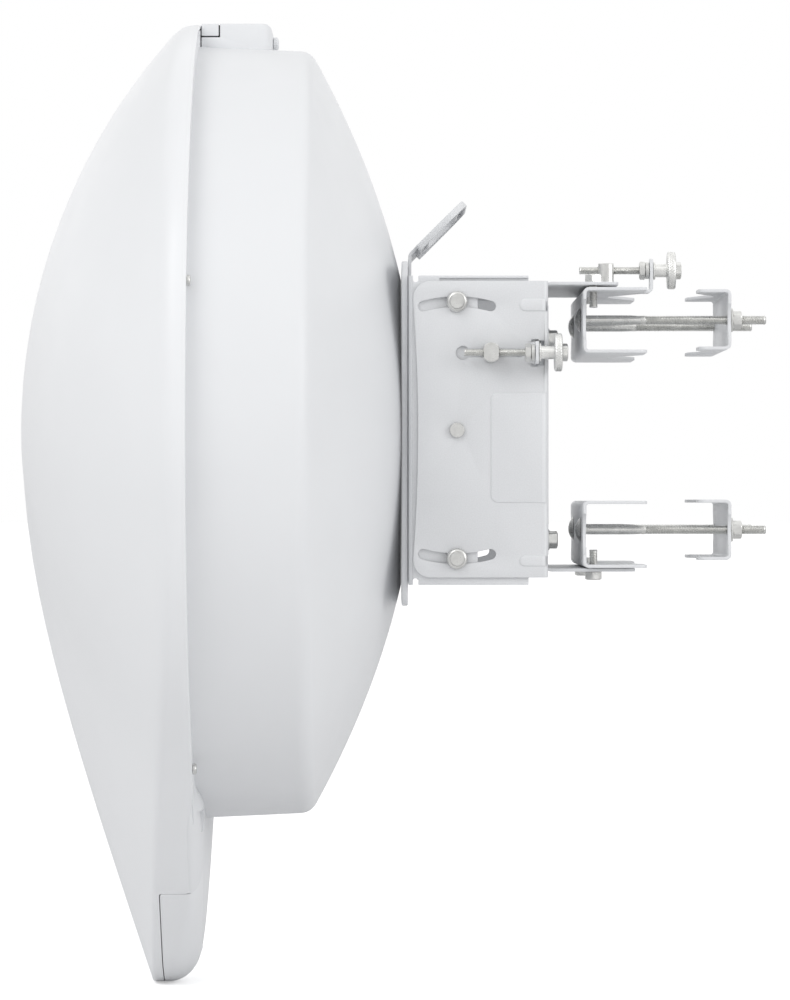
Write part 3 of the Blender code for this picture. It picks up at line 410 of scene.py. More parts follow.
class Nodes:
    """A material's node tree with short helpers."""

    def __init__(self, name):
        self.material = bpy.data.materials.new(name)
        self.material.use_nodes = True
        self.tree = self.material.node_tree
        self.shader = self.tree.nodes["Principled BSDF"]
        self.place = self.add("ShaderNodeTexCoord").outputs["Object"]

    def add(self, kind, **values):
        node = self.tree.nodes.new(kind)
        for key, value in values.items():
            setattr(node, key, value)
        return node

    def link(self, source, target):
        self.tree.links.new(source, target)

    def stretched(self, scale):
        mapping = self.add("ShaderNodeMapping")
        mapping.inputs["Scale"].default_value = scale
        self.link(self.place, mapping.inputs["Vector"])
        return mapping.outputs["Vector"]

    def noise(self, scale, detail=2.0, vector=None, roughness=0.5):
        node = self.add("ShaderNodeTexNoise")
        node.inputs["Scale"].default_value = scale
        node.inputs["Detail"].default_value = detail
        node.inputs["Roughness"].default_value = roughness
        self.link(vector or self.place, node.inputs["Vector"])
        return node.outputs["Fac"]

    def spread(self, source, low, high):
        """The 0.3 to 0.7 band of a texture mapped to low to high."""
        node = self.add("ShaderNodeMapRange")
        node.inputs["From Min"].default_value = 0.3
        node.inputs["From Max"].default_value = 0.7
        node.inputs["To Min"].default_value = low
        node.inputs["To Max"].default_value = high
        self.link(source, node.inputs["Value"])
        return node.outputs["Result"]

    def colours(self, share, low, high):
        node = self.add("ShaderNodeMix", data_type="RGBA")
        node.inputs["A"].default_value = (*low, 1.0)
        node.inputs["B"].default_value = (*high, 1.0)
        self.link(share, node.inputs["Factor"])
        return node.outputs["Result"]

    def total(self, first, second, operation="ADD"):
        node = self.add("ShaderNodeMath", operation=operation)
        for index, source in enumerate((first, second)):
            if isinstance(source, float):
                node.inputs[index].default_value = source
            else:
                self.link(source, node.inputs[index])
        return node.outputs["Value"]

    def bump(self, height, distance, strength=1.0):
        node = self.add("ShaderNodeBump")
        node.inputs["Distance"].default_value = distance * MM
        node.inputs["Strength"].default_value = strength
        self.link(height, node.inputs["Height"])
        self.link(node.outputs["Normal"], self.shader.inputs["Normal"])

    def painted_edge_highlight(self, low=0.5, high=0.58):
        """Nearly 1 on outward edges, 0 on flats: the mask of a painted highlight along the edges."""
        pointy = self.add("ShaderNodeNewGeometry").outputs["Pointiness"]
        node = self.add("ShaderNodeMapRange")
        node.inputs["From Min"].default_value = low
        node.inputs["From Max"].default_value = high
        self.link(pointy, node.inputs["Value"])
        return node.outputs["Result"]


def plastic(name, colour, roughness, grain):
    """Moulded plastic: faint mottling, a fine spark-eroded grain and slightly uneven gloss."""
    nodes = Nodes(name)
    shade = tuple(channel * 0.972 for channel in colour)
    nodes.link(nodes.colours(nodes.spread(nodes.noise(9), 0.0, 1.0), shade, colour),
               nodes.shader.inputs["Base Color"])
    nodes.link(nodes.spread(nodes.noise(38, 3), roughness - 0.04, roughness + 0.06),
               nodes.shader.inputs["Roughness"])
    grains = nodes.noise(1500, 2)
    flow = nodes.total(nodes.noise(14, 1), 6.0, "MULTIPLY")
    nodes.bump(nodes.total(grains, flow), grain, 0.35)
    nodes.shader.inputs["IOR"].default_value = 1.46
    nodes.shader.inputs["Subsurface Weight"].default_value = 0.04
    nodes.shader.inputs["Subsurface Radius"].default_value = (0.003, 0.003, 0.003)
    return nodes.material


def powder_coat(name, colour):
    """Powder coat on sheet steel: orange peel, fine speckle and outward edges lightened as a painted highlight."""
    nodes = Nodes(name)
    speckle = nodes.spread(nodes.noise(1300, 1), 0.0, 1.0)
    dark = tuple(channel * 0.94 for channel in colour)
    # Colour B is the paint lightened by a tenth. Mixed in on outward edges, it is a painted highlight where edges catch
    # the light.
    base = nodes.add("ShaderNodeMix", data_type="RGBA")
    base.inputs["B"].default_value = (*(min(1.0, channel * 1.1) for channel in colour), 1.0)
    nodes.link(nodes.colours(speckle, dark, colour), base.inputs["A"])
    nodes.link(nodes.total(nodes.painted_edge_highlight(), 0.45, "MULTIPLY"), base.inputs["Factor"])
    nodes.link(base.outputs["Result"], nodes.shader.inputs["Base Color"])
    nodes.link(nodes.spread(nodes.noise(60, 2), 0.40, 0.52), nodes.shader.inputs["Roughness"])
    peel = nodes.total(nodes.noise(420, 2), nodes.total(nodes.noise(1500, 1), 0.3, "MULTIPLY"))
    nodes.bump(peel, 0.05, 0.5)
    nodes.shader.inputs["Coat Weight"].default_value = 0.15
    nodes.shader.inputs["Coat Roughness"].default_value = 0.3
    return nodes.material


def machined(name, colour, roughness, stretch, grain=0.012):
    """Turned or drawn metal: fine scratches along one direction and patchy gloss."""
    nodes = Nodes(name)
    lines = nodes.noise(900, 3, nodes.stretched(stretch))
    dull = tuple(channel * 0.82 for channel in colour)
    patches = nodes.spread(nodes.noise(160, 3), 0.0, 1.0)
    nodes.link(nodes.colours(patches, dull, colour), nodes.shader.inputs["Base Color"])
    nodes.shader.inputs["Metallic"].default_value = 1.0
    uneven = nodes.total(nodes.spread(lines, -0.05, 0.05), nodes.spread(patches, roughness + 0.05, roughness))
    nodes.link(uneven, nodes.shader.inputs["Roughness"])
    nodes.bump(lines, grain, 0.4)
    return nodes.material


def spun(name, colour, roughness):
    """Spun aluminium: concentric tool marks about the dish axis."""
    nodes = Nodes(name)
    split = nodes.add("ShaderNodeSeparateXYZ")
    nodes.link(nodes.place, split.inputs["Vector"])
    level = nodes.total(split.outputs["Z"], -HUB.z, "ADD")
    square = nodes.total(nodes.total(split.outputs["X"], split.outputs["X"], "MULTIPLY"),
                         nodes.total(level, level, "MULTIPLY"))
    radius = nodes.total(square, 0.5, "POWER")
    marks = nodes.add("ShaderNodeTexNoise", noise_dimensions="1D")
    nodes.link(radius, marks.inputs["W"])
    marks.inputs["Scale"].default_value = 700
    dull = tuple(channel * 0.88 for channel in colour)
    nodes.link(nodes.colours(nodes.spread(marks.outputs["Fac"], 0.0, 1.0), dull, colour),
               nodes.shader.inputs["Base Color"])
    nodes.link(nodes.spread(nodes.noise(25, 2), roughness - 0.05, roughness + 0.08),
               nodes.shader.inputs["Roughness"])
    nodes.shader.inputs["Metallic"].default_value = 1.0
    nodes.bump(marks.outputs["Fac"], 0.03, 0.4)
    return nodes.material


def rubber(name, colour):
    nodes = Nodes(name)
    bloom = tuple(min(1.0, channel * 1.9) for channel in colour)
    nodes.link(nodes.colours(nodes.spread(nodes.noise(90, 4), 0.0, 1.0), colour, bloom),
               nodes.shader.inputs["Base Color"])
    nodes.link(nodes.spread(nodes.noise(300, 2), 0.7, 0.9), nodes.shader.inputs["Roughness"])
    nodes.bump(nodes.noise(1100, 2), 0.04, 0.5)
    return nodes.material


def laminate(name, mask, copper):
    """A circuit board: solder mask over a raster of tracks, with tinned pads."""
    nodes = Nodes(name)
    tracks = nodes.add("ShaderNodeTexBrick")
    tracks.inputs["Scale"].default_value = 130
    tracks.inputs["Mortar Size"].default_value = 0.05
    upright = nodes.add("ShaderNodeMapping")
    upright.inputs["Rotation"].default_value = (math.radians(90), 0, 0)
    nodes.link(nodes.place, upright.inputs["Vector"])
    nodes.link(upright.outputs["Vector"], tracks.inputs["Vector"])
    tracks.inputs["Color1"].default_value = (*mask, 1.0)
    tracks.inputs["Color2"].default_value = (*(channel * 0.8 for channel in mask), 1.0)
    tracks.inputs["Mortar"].default_value = (*copper, 1.0)
    pads = nodes.add("ShaderNodeTexVoronoi")
    pads.inputs["Scale"].default_value = 260
    nodes.link(nodes.place, pads.inputs["Vector"])
    small = nodes.add("ShaderNodeMath", operation="LESS_THAN")
    small.inputs[1].default_value = 0.16
    nodes.link(pads.outputs["Distance"], small.inputs[0])
    base = nodes.add("ShaderNodeMix", data_type="RGBA")
    nodes.link(small.outputs["Value"], base.inputs["Factor"])
    nodes.link(tracks.outputs["Color"], base.inputs["A"])
    base.inputs["B"].default_value = (0.7, 0.7, 0.68, 1.0)
    nodes.link(base.outputs["Result"], nodes.shader.inputs["Base Color"])
    nodes.link(small.outputs["Value"], nodes.shader.inputs["Metallic"])
    nodes.shader.inputs["Roughness"].default_value = 0.42
    nodes.bump(tracks.outputs["Fac"], 0.05, 0.5)
    return nodes.material


def make_finishes():
    """Each finish is a material and the record's slot that it belongs to."""
    drawn = (1.0, 0.06, 1.0)
    return {
        "radome": (plastic("radome_white_plastic", (0.82, 0.83, 0.845), 0.40, 0.02), "radome_white"),
        "housing": (plastic("housing_white_plastic", (0.79, 0.80, 0.815), 0.44, 0.025), "housing_white"),
        "paint": (powder_coat("light_grey_powder_coat", (0.715, 0.725, 0.74)), "grey_paint"),
        "steel": (machined("drawn_zinc_steel", (0.74, 0.74, 0.72), 0.24, drawn), "zinc_steel"),
        "head": (machined("turned_zinc_steel", (0.74, 0.74, 0.722), 0.30, (1, 1, 1)), "zinc_steel"),
        "knob": (machined("knurled_bright_steel", (0.86, 0.86, 0.84), 0.28, (1, 1, 1)), "knob_steel"),
        "aluminium": (spun("spun_aluminium", (0.78, 0.78, 0.79), 0.3), "aluminium"),
        "rubber": (rubber("seal_rubber", (0.02, 0.02, 0.021)), "seal_rubber"),
        "board": (laminate("circuit_laminate", (0.02, 0.13, 0.05), (0.05, 0.22, 0.09)), "circuit_board"),
    }


FINISH = make_finishes()


def flat_areas(mesh):
    """Faces that belong to a flat area wider than a bend's strip."""
    mesh.normal_update()
    seen = set()
    found = []
    for start in mesh.faces:
        if start in seen:
            continue
        seen.add(start)
        area = [start]
        outline = 0.0
        for face in area:
            for edge in face.edges:
                inside = True
                for other in edge.link_faces:
                    if other.normal.dot(start.normal) < 0.99995:
                        inside = False
                    elif other not in seen:
                        seen.add(other)
                        area.append(other)
                if not inside:
                    outline += edge.calc_length()
        if 2 * sum(face.calc_area() for face in area) > 1.2 * outline:
            found += area
    return found


def piece(name, mesh, finish, *nodes, flat=False, body=None):
    """A visible piece made from a mesh in hub millimetres. It stands for CAD nodes and rides on
    their body. Flat pieces keep even shading on their flat areas."""
    bmesh.ops.recalc_face_normals(mesh, faces=mesh.faces[:])
    for face in mesh.faces:
        face.smooth = True
    if flat:
        for face in flat_areas(mesh):
            face.smooth = False
    bmesh.ops.scale(mesh, vec=(MM, MM, MM), verts=mesh.verts[:])
    bmesh.ops.translate(mesh, vec=HUB, verts=mesh.verts[:])
    data = bpy.data.meshes.new(name)
    mesh.to_mesh(data)
    mesh.free()
    material, slot_name = FINISH[finish]
    data.materials.append(material)
    data.set_sharp_from_angle(angle=math.radians(35))
    made = bpy.data.objects.new(name, data)
    bpy.context.scene.collection.objects.link(made)
    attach(made, body or BODY_OF[nodes[0]])
    if nodes:
        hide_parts(*nodes)
    return made


# ---------------------------------------------------------------- radome surface

LEAN = math.asin((RADOME_RADIUS - CHIN_RADIUS) / -CHIN_Z)
TANGENT = -CHIN_Z * math.cos(LEAN)
LARGE_ARC = RADOME_RADIUS * (math.pi / 2 + LEAN)
SMALL_ARC = CHIN_RADIUS * (math.pi / 2 - LEAN)
HALF_LENGTH = LARGE_ARC + TANGENT + SMALL_ARC


def outline_point(along):
    """A point of the radome's outline and its outward normal, at a distance from the top."""
    if along > HALF_LENGTH:
        point, normal = outline_point(2 * HALF_LENGTH - along)
        return Vector((-point.x, point.y)), Vector((-normal.x, normal.y))
    if along <= LARGE_ARC:
        angle = math.pi / 2 - along / RADOME_RADIUS
        normal = Vector((math.cos(angle), math.sin(angle)))
        return normal * RADOME_RADIUS, normal
    if along <= LARGE_ARC + TANGENT:
        normal = Vector((math.cos(LEAN), -math.sin(LEAN)))
        down = Vector((-math.sin(LEAN), -math.cos(LEAN)))
        return normal * RADOME_RADIUS + down * (along - LARGE_ARC), normal
    angle = -LEAN - (along - LARGE_ARC - TANGENT) / CHIN_RADIUS
    normal = Vector((math.cos(angle), math.sin(angle)))
    return Vector((0, CHIN_Z)) + normal * CHIN_RADIUS, normal


def distance_at(z):
    """How far along the outline, from the top towards +X, a height is reached."""
    low = 0.0
    high = HALF_LENGTH
    for _ in range(40):
        half = (low + high) / 2
        if outline_point(half)[0].y > z:
            low = half
        else:
            high = half
    return low


def sphere_drop(radius):
    return DOME_SPHERE - math.sqrt(DOME_SPHERE ** 2 - radius ** 2)


def cubic(handles, along):
    back = 1 - along
    return (handles[0] * back ** 3 + 3 * handles[1] * along * back ** 2
            + 3 * handles[2] * along ** 2 * back + handles[3] * along ** 3)


def chin_drop(share):
    """The chin's side profile, a cubic curve: depth behind the front at a share of its length."""
    low = 0.0
    high = 1.0
    for _ in range(30):
        half = (low + high) / 2
        if cubic((0.0, 90.0, 165.0, CHIN_LENGTH), half) < share * CHIN_LENGTH:
            low = half
        else:
            high = half
    return cubic((0.0, 0.0, 22.1, CHIN_DROP), low)


def chin_weight(point):
    """0 on the dome's upper half, 1 at the chin's lowest point."""
    share = max(0.0, -math.atan2(point.y, abs(point.x)) / (math.pi / 2))
    return share ** 2 * (2 - share)


def dome_y(point, share):
    weight = chin_weight(point)
    edge = mix(sphere_drop(RADOME_RADIUS), CHIN_DROP, weight)
    round_share = sphere_drop(share * RADOME_RADIUS) / sphere_drop(RADOME_RADIUS)
    return RADOME_FRONT + edge * mix(round_share, chin_drop(share) / CHIN_DROP, weight)


def lid_rise(z):
    return smoothstep(-LID_RISE_Z[0], -LID_RISE_Z[1], -z)


def rim_y(point):
    """Rear edge of the radome: it dips along the chin."""
    return RADOME_RIM - RIM_CHIN_DIP * smoothstep(-RIM_DIP_Z[0], -RIM_DIP_Z[1], -point.y)


def lid_back(z):
    """Y of the chin's back, which curves in towards its lower end."""
    down = -249 - z
    return -217.0 - 0.012 * down - 0.00028 * down ** 2


SEAM_AT = distance_at(COVER_HIGH.z + SEAM_UP)


def seam_front(past):
    """Y of the radome's edge over the port cover, `past` millimetres below the cover's top seam."""
    corner = max(0.0, SEAM_CORNER - past)
    return COVER_LOW.y + SEAM_BACK - SEAM + SEAM_CORNER - math.sqrt(SEAM_CORNER ** 2 - corner ** 2)


def radome_edge(along):
    """Rear edge of the radome at a place on its outline, port cover opening included."""
    along = min(along, 2 * HALF_LENGTH - along)
    point, _ = outline_point(along)
    past = along - SEAM_AT
    if past > 0:
        return seam_front(past)
    corner = max(0.0, SEAM_CORNER + past)
    return rim_y(point) - SEAM_CORNER + math.sqrt(SEAM_CORNER ** 2 - corner ** 2)


def columns(low, high, count, close=()):
    """Places along the right half of the outline, evenly spread, with extra ones close to a seam."""
    places = {low + (high - low) * step / count for step in range(count + 1)}
    places.update(close)
    ordered = sorted(places)
    return ordered + [2 * HALF_LENGTH - place for place in reversed(ordered) if place < HALF_LENGTH - 0.01]


def make_radome():
    offsets = (-3.0, -2.6, -2.0, -1.2, -0.5, 0.0, 0.01, 0.3, 0.8, 1.5, 2.2, 3.0)
    upper = columns(0.0, HALF_LENGTH, OUTLINE_STEPS, [SEAM_AT + step for step in offsets])[:-1]
    shares = [0.06 * step for step in range(1, 12)] + [0.66 + 0.02 * step for step in range(1, 18)]
    mesh = bmesh.new()
    tip = mesh.verts.new((0, RADOME_FRONT, 0))
    profiles = []
    for along in upper:
        point, normal = outline_point(along)
        edge_y = dome_y(point, 1.0)
        fold = mix(DOME_EDGE, CHIN_EDGE, chin_weight(point))
        last = 1 - fold / point.length
        profile = [(point * share * last, dome_y(point, share * last)) for share in shares]
        start, start_y = profile[-1]
        for step in range(1, 7):
            t = step / 6
            flat = start * (1 - t) ** 2 + point * (1 - (1 - t) ** 2)
            y = start_y * (1 - t) ** 2 + edge_y * 2 * t * (1 - t) + (edge_y + fold) * t ** 2
            profile.append((flat, y))
        rear = radome_edge(along)
        for step in (1, 2, 3):
            profile.append((point, mix(edge_y + fold, rear - 0.5, step / 3)))
        profile.append((point - normal * 0.15, rear - 0.15))
        profile.append((point - normal * 0.5, rear))
        profiles.append(profile)
    rings = []
    for level in range(len(profiles[0])):
        rings.append([mesh.verts.new((profile[level][0].x, profile[level][1], profile[level][0].y))
                      for profile in profiles])
    skin(mesh, [tip], rings[0])
    for first, second in zip(rings, rings[1:]):
        skin(mesh, first, second)
    bmesh.ops.recalc_face_normals(mesh, faces=mesh.faces[:])
    mesh.normal_update()
    depth = math.copysign(RADOME_WALL, -tip.normal.y)
    last_full = len(rings) - 4
    inner_tip = mesh.verts.new(tip.co - tip.normal * depth)
    inner = []
    for level in range(last_full + 2):
        inner.append([mesh.verts.new(rings[level][index].co - rings[min(level, last_full)][index].normal * depth)
                      for index in range(len(profiles))])
    skin(mesh, [inner_tip], inner[0])
    for first, second in zip(inner, inner[1:]):
        skin(mesh, first, second)
    skin(mesh, rings[-1], inner[-1])
    bmesh.ops.recalc_face_normals(mesh, faces=mesh.faces[:])
    piece("radome", mesh, "radome", "radome")


def rear_section(start_y, end_y, steps=10):
    """The chin's rounded rear edge as (inset, Y) points, a quarter ellipse."""
    points = []
    for step in range(steps + 1):
        angle = math.pi / 2 * step / steps
        points.append((LID_EDGE * (1 - math.cos(angle)), mix(start_y, end_y, math.sin(angle))))
    return points


def walled(curve, edge, wall):
    """A closed section: an (inset, Y) curve with a wall on its inner side and an edge before it."""
    inner = []
    for index, (inset, y) in enumerate(curve):
        before = Vector(curve[max(index - 1, 0)])
        after = Vector(curve[min(index + 1, len(curve) - 1)])
        heading = (after - before).normalized()
        inner.append((inset + heading.y * wall, y - heading.x * wall))
    return edge + curve + inner[::-1]


def make_port_cover():
    """The chin's cap: its wall carries on the radome's, and rounds over to the chin's back."""
    top = SEAM_AT + SEAM
    outlines = []
    for along in columns(top, HALF_LENGTH, 44, [top + step for step in (0.3, 0.8, 1.5, 2.2, 3.0)]):
        point, normal = outline_point(along)
        near = min(along, 2 * HALF_LENGTH - along)
        front = seam_front(near - top) + SEAM
        back = lid_back(point.y)
        low = smoothstep(-COVER_HIGH.z, -COVER_LOW.z - 12, -point.y)
        start = back - mix(9.5, 21.0, low)
        curve = [(0.0, mix(front + 0.5, start, step / 4)) for step in range(4)]
        curve += rear_section(start, back)
        section = walled(curve, [(0.5, front), (0.15, front + 0.15)], RADOME_WALL - 0.3)
        outlines.append([Vector((point.x - normal.x * inset, y, point.y - normal.y * inset))
                         for inset, y in section])
    grip = [(-226.0, -331.5, 0), (-222.6, -332.4, 0), (-220.9, -333.9, 1), (-224.3, -343.8, 1), (-229.0, -343.8, 0)]
    grip = prism("X", fillet(grip), -9, 9)
    piece("port_cover", join(loft(outlines), [soften(grip, 0.4)]), "radome", "port_cover")


def lid_solid():
    """The back of the chin: rounded sides above the port cover, and a flat that reaches down
    between the cover's rounded edges."""
    top = distance_at(RIM_DIP_Z[0])
    bottom = HALF_LENGTH - 0.5
    mesh = bmesh.new()
    seam = SEAM_AT - 0.2
    places = sorted({top + (seam - top) * step / 26 for step in range(27)}
                    | {seam + (bottom - seam) * step / 30 for step in range(31)})
    inner = []
    for side in (1, -1):
        rows = []
        for along in places:
            point, normal = outline_point(along)
            rise = lid_rise(point.y)
            end_y = mix(FLANGE_Y + 0.2, lid_back(point.y), rise)
            start_y = min(rim_y(point) + 0.4, end_y - 0.05)
            section = rear_section(start_y, end_y)
            if along > seam:
                section = section[-1:]
            row = []
            for inset, y in section:
                least = 0.5 if along <= seam else LID_EDGE + SEAM
                flat = point - normal * mix(least, LID_EDGE + SEAM, inset / LID_EDGE)
                row.append(mesh.verts.new((side * flat.x, y, flat.y)))
            rows.append(row)
        for first, second in zip(rows, rows[1:]):
            if len(first) > 1 and len(second) > 1:
                for index in range(len(first) - 1):
                    mesh.faces.new((first[index], first[index + 1], second[index + 1], second[index]))
        inner.append([row[-1] for row in rows])
    right, left = inner
    ladders = []
    for first, second in zip(right, left):
        between = [mesh.verts.new(first.co.lerp(second.co, step / 8)) for step in range(1, 8)]
        ladders.append([first, *between, second])
    for first, second in zip(ladders, ladders[1:]):
        for index in range(len(first) - 1):
            mesh.faces.new((first[index], first[index + 1], second[index + 1], second[index]))
    bmesh.ops.recalc_face_normals(mesh, faces=mesh.faces[:])
    grown = bmesh.ops.extrude_face_region(mesh, geom=mesh.faces[:])
    moved = [item for item in grown["geom"] if isinstance(item, bmesh.types.BMVert)]
    bmesh.ops.translate(mesh, verts=moved, vec=(0, -LID_WALL, 0))
    bmesh.ops.recalc_face_normals(mesh, faces=mesh.faces[:])
    return mesh


def make_chin_lid():
    """The chin's back, with a tapered pocket and a small mark on each side below the drum."""
    cuts = []
    for side in (1, -1):
        pocket = [(-220.0, -238), (-212.0, -238), (-215.3, -243), (-217.3, -252), (-218.0, -252)]
        cuts.append(prism("X", pocket, *sorted((side * 80, side * 150))))
        cuts.append(turned("Y", (side * 88, 0, -263.6), [(0, -219), (0.8, -219), (0.8, -205), (0, -205)], 16))
    piece("chin_lid", cut(lid_solid(), cuts), "housing", body="dish")


def bowl_y(radius):
    return BOWL_APEX - BOWL_CURVE * radius ** 2


def make_rear_shell():
    seat_y = span("rear_shell")[1].y
    flange_radius, crease_radius = SHELL_DRAFT
    seat = math.sqrt((BOWL_APEX - seat_y) / BOWL_CURVE)
    edge = crease_radius - SHELL_CREASE * 0.8
    outer = [(seat * share, seat_y) for share in (0.0, 0.5, 0.93)]
    outer += [(mix(seat, edge, step / 22), bowl_y(mix(seat, edge, step / 22))) for step in range(23)]
    corner_y = bowl_y(crease_radius)
    for step in range(1, 9):
        t = step / 8
        radius = edge * (1 - t) ** 2 + crease_radius * (1 - (1 - t) ** 2)
        y = bowl_y(edge) * (1 - t) ** 2 + corner_y * 2 * t * (1 - t) + (corner_y - SHELL_CREASE) * t ** 2
        outer.append((radius, y))
    low, high = -224.0, corner_y - SHELL_CREASE
    outer += [(mix(crease_radius, flange_radius, step / 8), mix(high, low, step / 8)) for step in range(1, 9)]
    inner = [(flange_radius - SHELL_WALL, low), (crease_radius - SHELL_WALL, corner_y - SHELL_WALL - 3)]
    inner += [(mix(edge, seat, step / 8) - SHELL_WALL, bowl_y(mix(edge, seat, step / 8)) - SHELL_WALL)
              for step in range(9)]
    inner.append((0, seat_y - SHELL_WALL))
    bowl = turned("Y", (0, 0, 0), outer + inner, 256)
    edge_places = columns(0.0, HALF_LENGTH, 90)[:-1]
    outline = []
    for along in edge_places:
        point, normal = outline_point(along)
        outline.append(tuple(point - normal * 3.2))
    hollow = circle((0, 0), crease_radius - 1.0, 128)
    flange = prism("Y", outline, -223.8, FLANGE_Y, holes=[hollow])
    flange = cut(flange, [box((-300, -240, -400), (300, -200, LID_RISE_Z[1] + 6))])
    cuts = []
    for node in ("radome_screw_upper_left", "radome_screw_lower_left"):
        place = middle(node)
        for side in (1, -1):
            cuts.append(turned("Y", (side * place.x, 0, place.z), [(0, -230), (2.3, -230), (2.3, -210), (0, -210)], 24))
    piece("rear_shell", cut(join(bowl, [flange]), cuts), "housing", "rear_shell")


def make_radome_screws():
    for name in ("upper_left", "upper_right", "lower_left", "lower_right"):
        node = f"radome_screw_{name}"
        low, high = span(node)
        radius = (high.x - low.x) / 2
        rings = [(0, low.y), (1.6, low.y), (1.9, low.y + 0.4)]
        rings += thread_rings(1.9, 0.9, low.y + 0.4, high.y - 2.4)[::2]
        rings += [(1.9, high.y - 2.3), (radius, high.y - 2.3), (radius, high.y - 0.9), (radius * 0.86, high.y - 0.25),
                  (radius * 0.6, high.y), (hexagonal(2.6), high.y), (hexagonal(2.4), high.y - 1.2), (0, high.y - 1.3)]
        centre = middle(node)
        piece(node, turned("Y", (centre.x, 0, centre.z), rings, 36), "head", node)


def make_pod():
    low, high = span("top_pod")
    cap_low, cap_high = span("pod_cap")
    half = high.x
    foot = 236.0
    side = fillet([(low.y, foot, 0), (high.y, foot, 0), (high.y, high.z, 5), (cap_high.y + SEAM, high.z, 0.5),
                   (cap_high.y + SEAM, cap_low.z - SEAM, 0.4), (low.y, cap_low.z - SEAM, 0)])
    plan = rounded((-half, low.y - 20), (half, high.y), 9)
    body = common(prism("X", side, -half - 1, half + 1), [prism("Z", plan, 200, 300)])
    rib = box((-2.2, high.y - 2, 240), (2.2, high.y + 3.2, 250))
    drum = turned("Y", (0, 0, 0), [(0, -240), (SHELL_DRAFT[0] + 0.1, -240), (SHELL_DRAFT[0] - 3.1, -160), (0, -160)], 256)
    rim = box((-60, -240, 200), (60, RADOME_RIM + 0.25, 270))
    screw = span("pod_screw")[0].y
    bore = turned("Y", (0, 0, middle("pod_screw").z), [(0, screw - 2), (1.6, screw - 2), (1.6, -160), (0, -160)], 24)
    body = soften(cut(join(body, [rib]), [drum, rim, bore]), 0.5, segments=3)
    piece("top_pod", body, "housing", "top_pod", flat=True)
    block = prism("X", rounded((cap_low.y, cap_low.z + SEAM), (cap_high.y - SEAM, cap_high.z), 0.6),
                  -half + 0.6, half - 0.6)
    piece("pod_cap", soften(block, 0.5, segments=3), "housing", "pod_cap", flat=True)
    seal = join(box((-half + 1.2, cap_low.y, cap_low.z - 0.4), (half - 1.2, cap_high.y + 0.3, cap_low.z + 1.2)),
                [box((-half + 1.2, cap_high.y - 1.2, cap_low.z), (half - 1.2, cap_high.y + 0.3, cap_high.z - 0.9))])
    piece("pod_cap_seal", seal, "rubber", body="dish")


def make_pod_screw():
    low, high = span("pod_screw")
    centre = middle("pod_screw")
    radius = (high.x - low.x) / 2

    def grip(angle, _along):
        return radius - 0.28 * (0.5 + 0.5 * math.cos(16 * angle))

    head = high.y - 3.9
    rings = [(0, low.y), (1.0, low.y)] + thread_rings(1.3, 0.7, low.y + 0.2, head - 0.2)[::2]
    rings += [(1.3, head), (radius - 1.2, head), (grip, head + 0.6), (grip, high.y - 1.3),
              (radius * 0.82, high.y - 0.45), (radius * 0.55, high.y - 0.08), (0, high.y)]
    piece("pod_screw", turned("Y", (centre.x, 0, centre.z), rings, 96), "housing", "pod_screw")


# ---------------------------------------------------------------- bracket

PIVOT = Vector(((JOINT_AT["elevation"] - HUB) / MM))
AZIMUTH_Y = ((JOINT_AT["azimuth"] - HUB) / MM).y
SLOT_RADIUS = middle("elevation_bolt_upper_left").z
SLOT_ANGLE = 15.2
INNER_REAR = -44.4              # rear edge of the inner bracket's side walls
SIDES = (("left", 1), ("right", -1))
HEX = 10.0                      # across the flats of every hexagon


def channel(half, web_low, web_high, side_end, low_z, high_z):
    """A bent channel along Z: a web across X and a side wall at each end, open towards side_end."""
    outward, inward = (web_low, web_high) if side_end > web_high else (web_high, web_low)
    inside = half - SHEET
    outline = fillet([(-half, side_end, 0), (-half, outward, BEND + SHEET), (half, outward, BEND + SHEET),
                      (half, side_end, 0), (inside, side_end, 0), (inside, inward, BEND),
                      (-inside, inward, BEND), (-inside, side_end, 0)])
    return prism("Z", outline, low_z, high_z)


def raised_panel(low, high, radius, side, base):
    """A pressed panel with sloped edges on a side wall, given in Y and Z. Its rear runs out over
    the bend."""
    outlines = []
    for inset, height in ((0.0, -0.6), (0.0, 0.0), (0.35, EMBOSS * 0.7), (0.9, EMBOSS)):
        corners = [(low[0] + inset, low[1] + inset, radius - inset), (high[0], low[1] + inset, 0),
                   (high[0], high[1] - inset, 0), (low[0] + inset, high[1] - inset, radius - inset)]
        outlines.append([(side * (base + height), y, z) for y, z in fillet(corners)])
    return loft(outlines)


def side_holes(slot_width):
    """The pivot hole and the two curved slots, through both side walls."""
    cuts = [turned("X", (0, PIVOT.y, 0), [(0, -130), (3.4, -130), (3.4, 130), (0, 130)])]
    if slot_width:
        for angle in (90, -90):
            outline = curved_slot((PIVOT.y, 0), SLOT_RADIUS, angle, SLOT_ANGLE, slot_width)
            cuts.append(prism("X", outline, -130, 130))
    return cuts


def arm_bolt_holes():
    cuts = []
    for height in ("upper", "lower"):
        place = middle(f"arm_bolt_{height}_left")
        for side in (1, -1):
            cuts.append(turned("Y", (side * place.x, 0, place.z), [(0, -9), (3.3, -9), (3.3, 6), (0, 6)], 32))
    return cuts


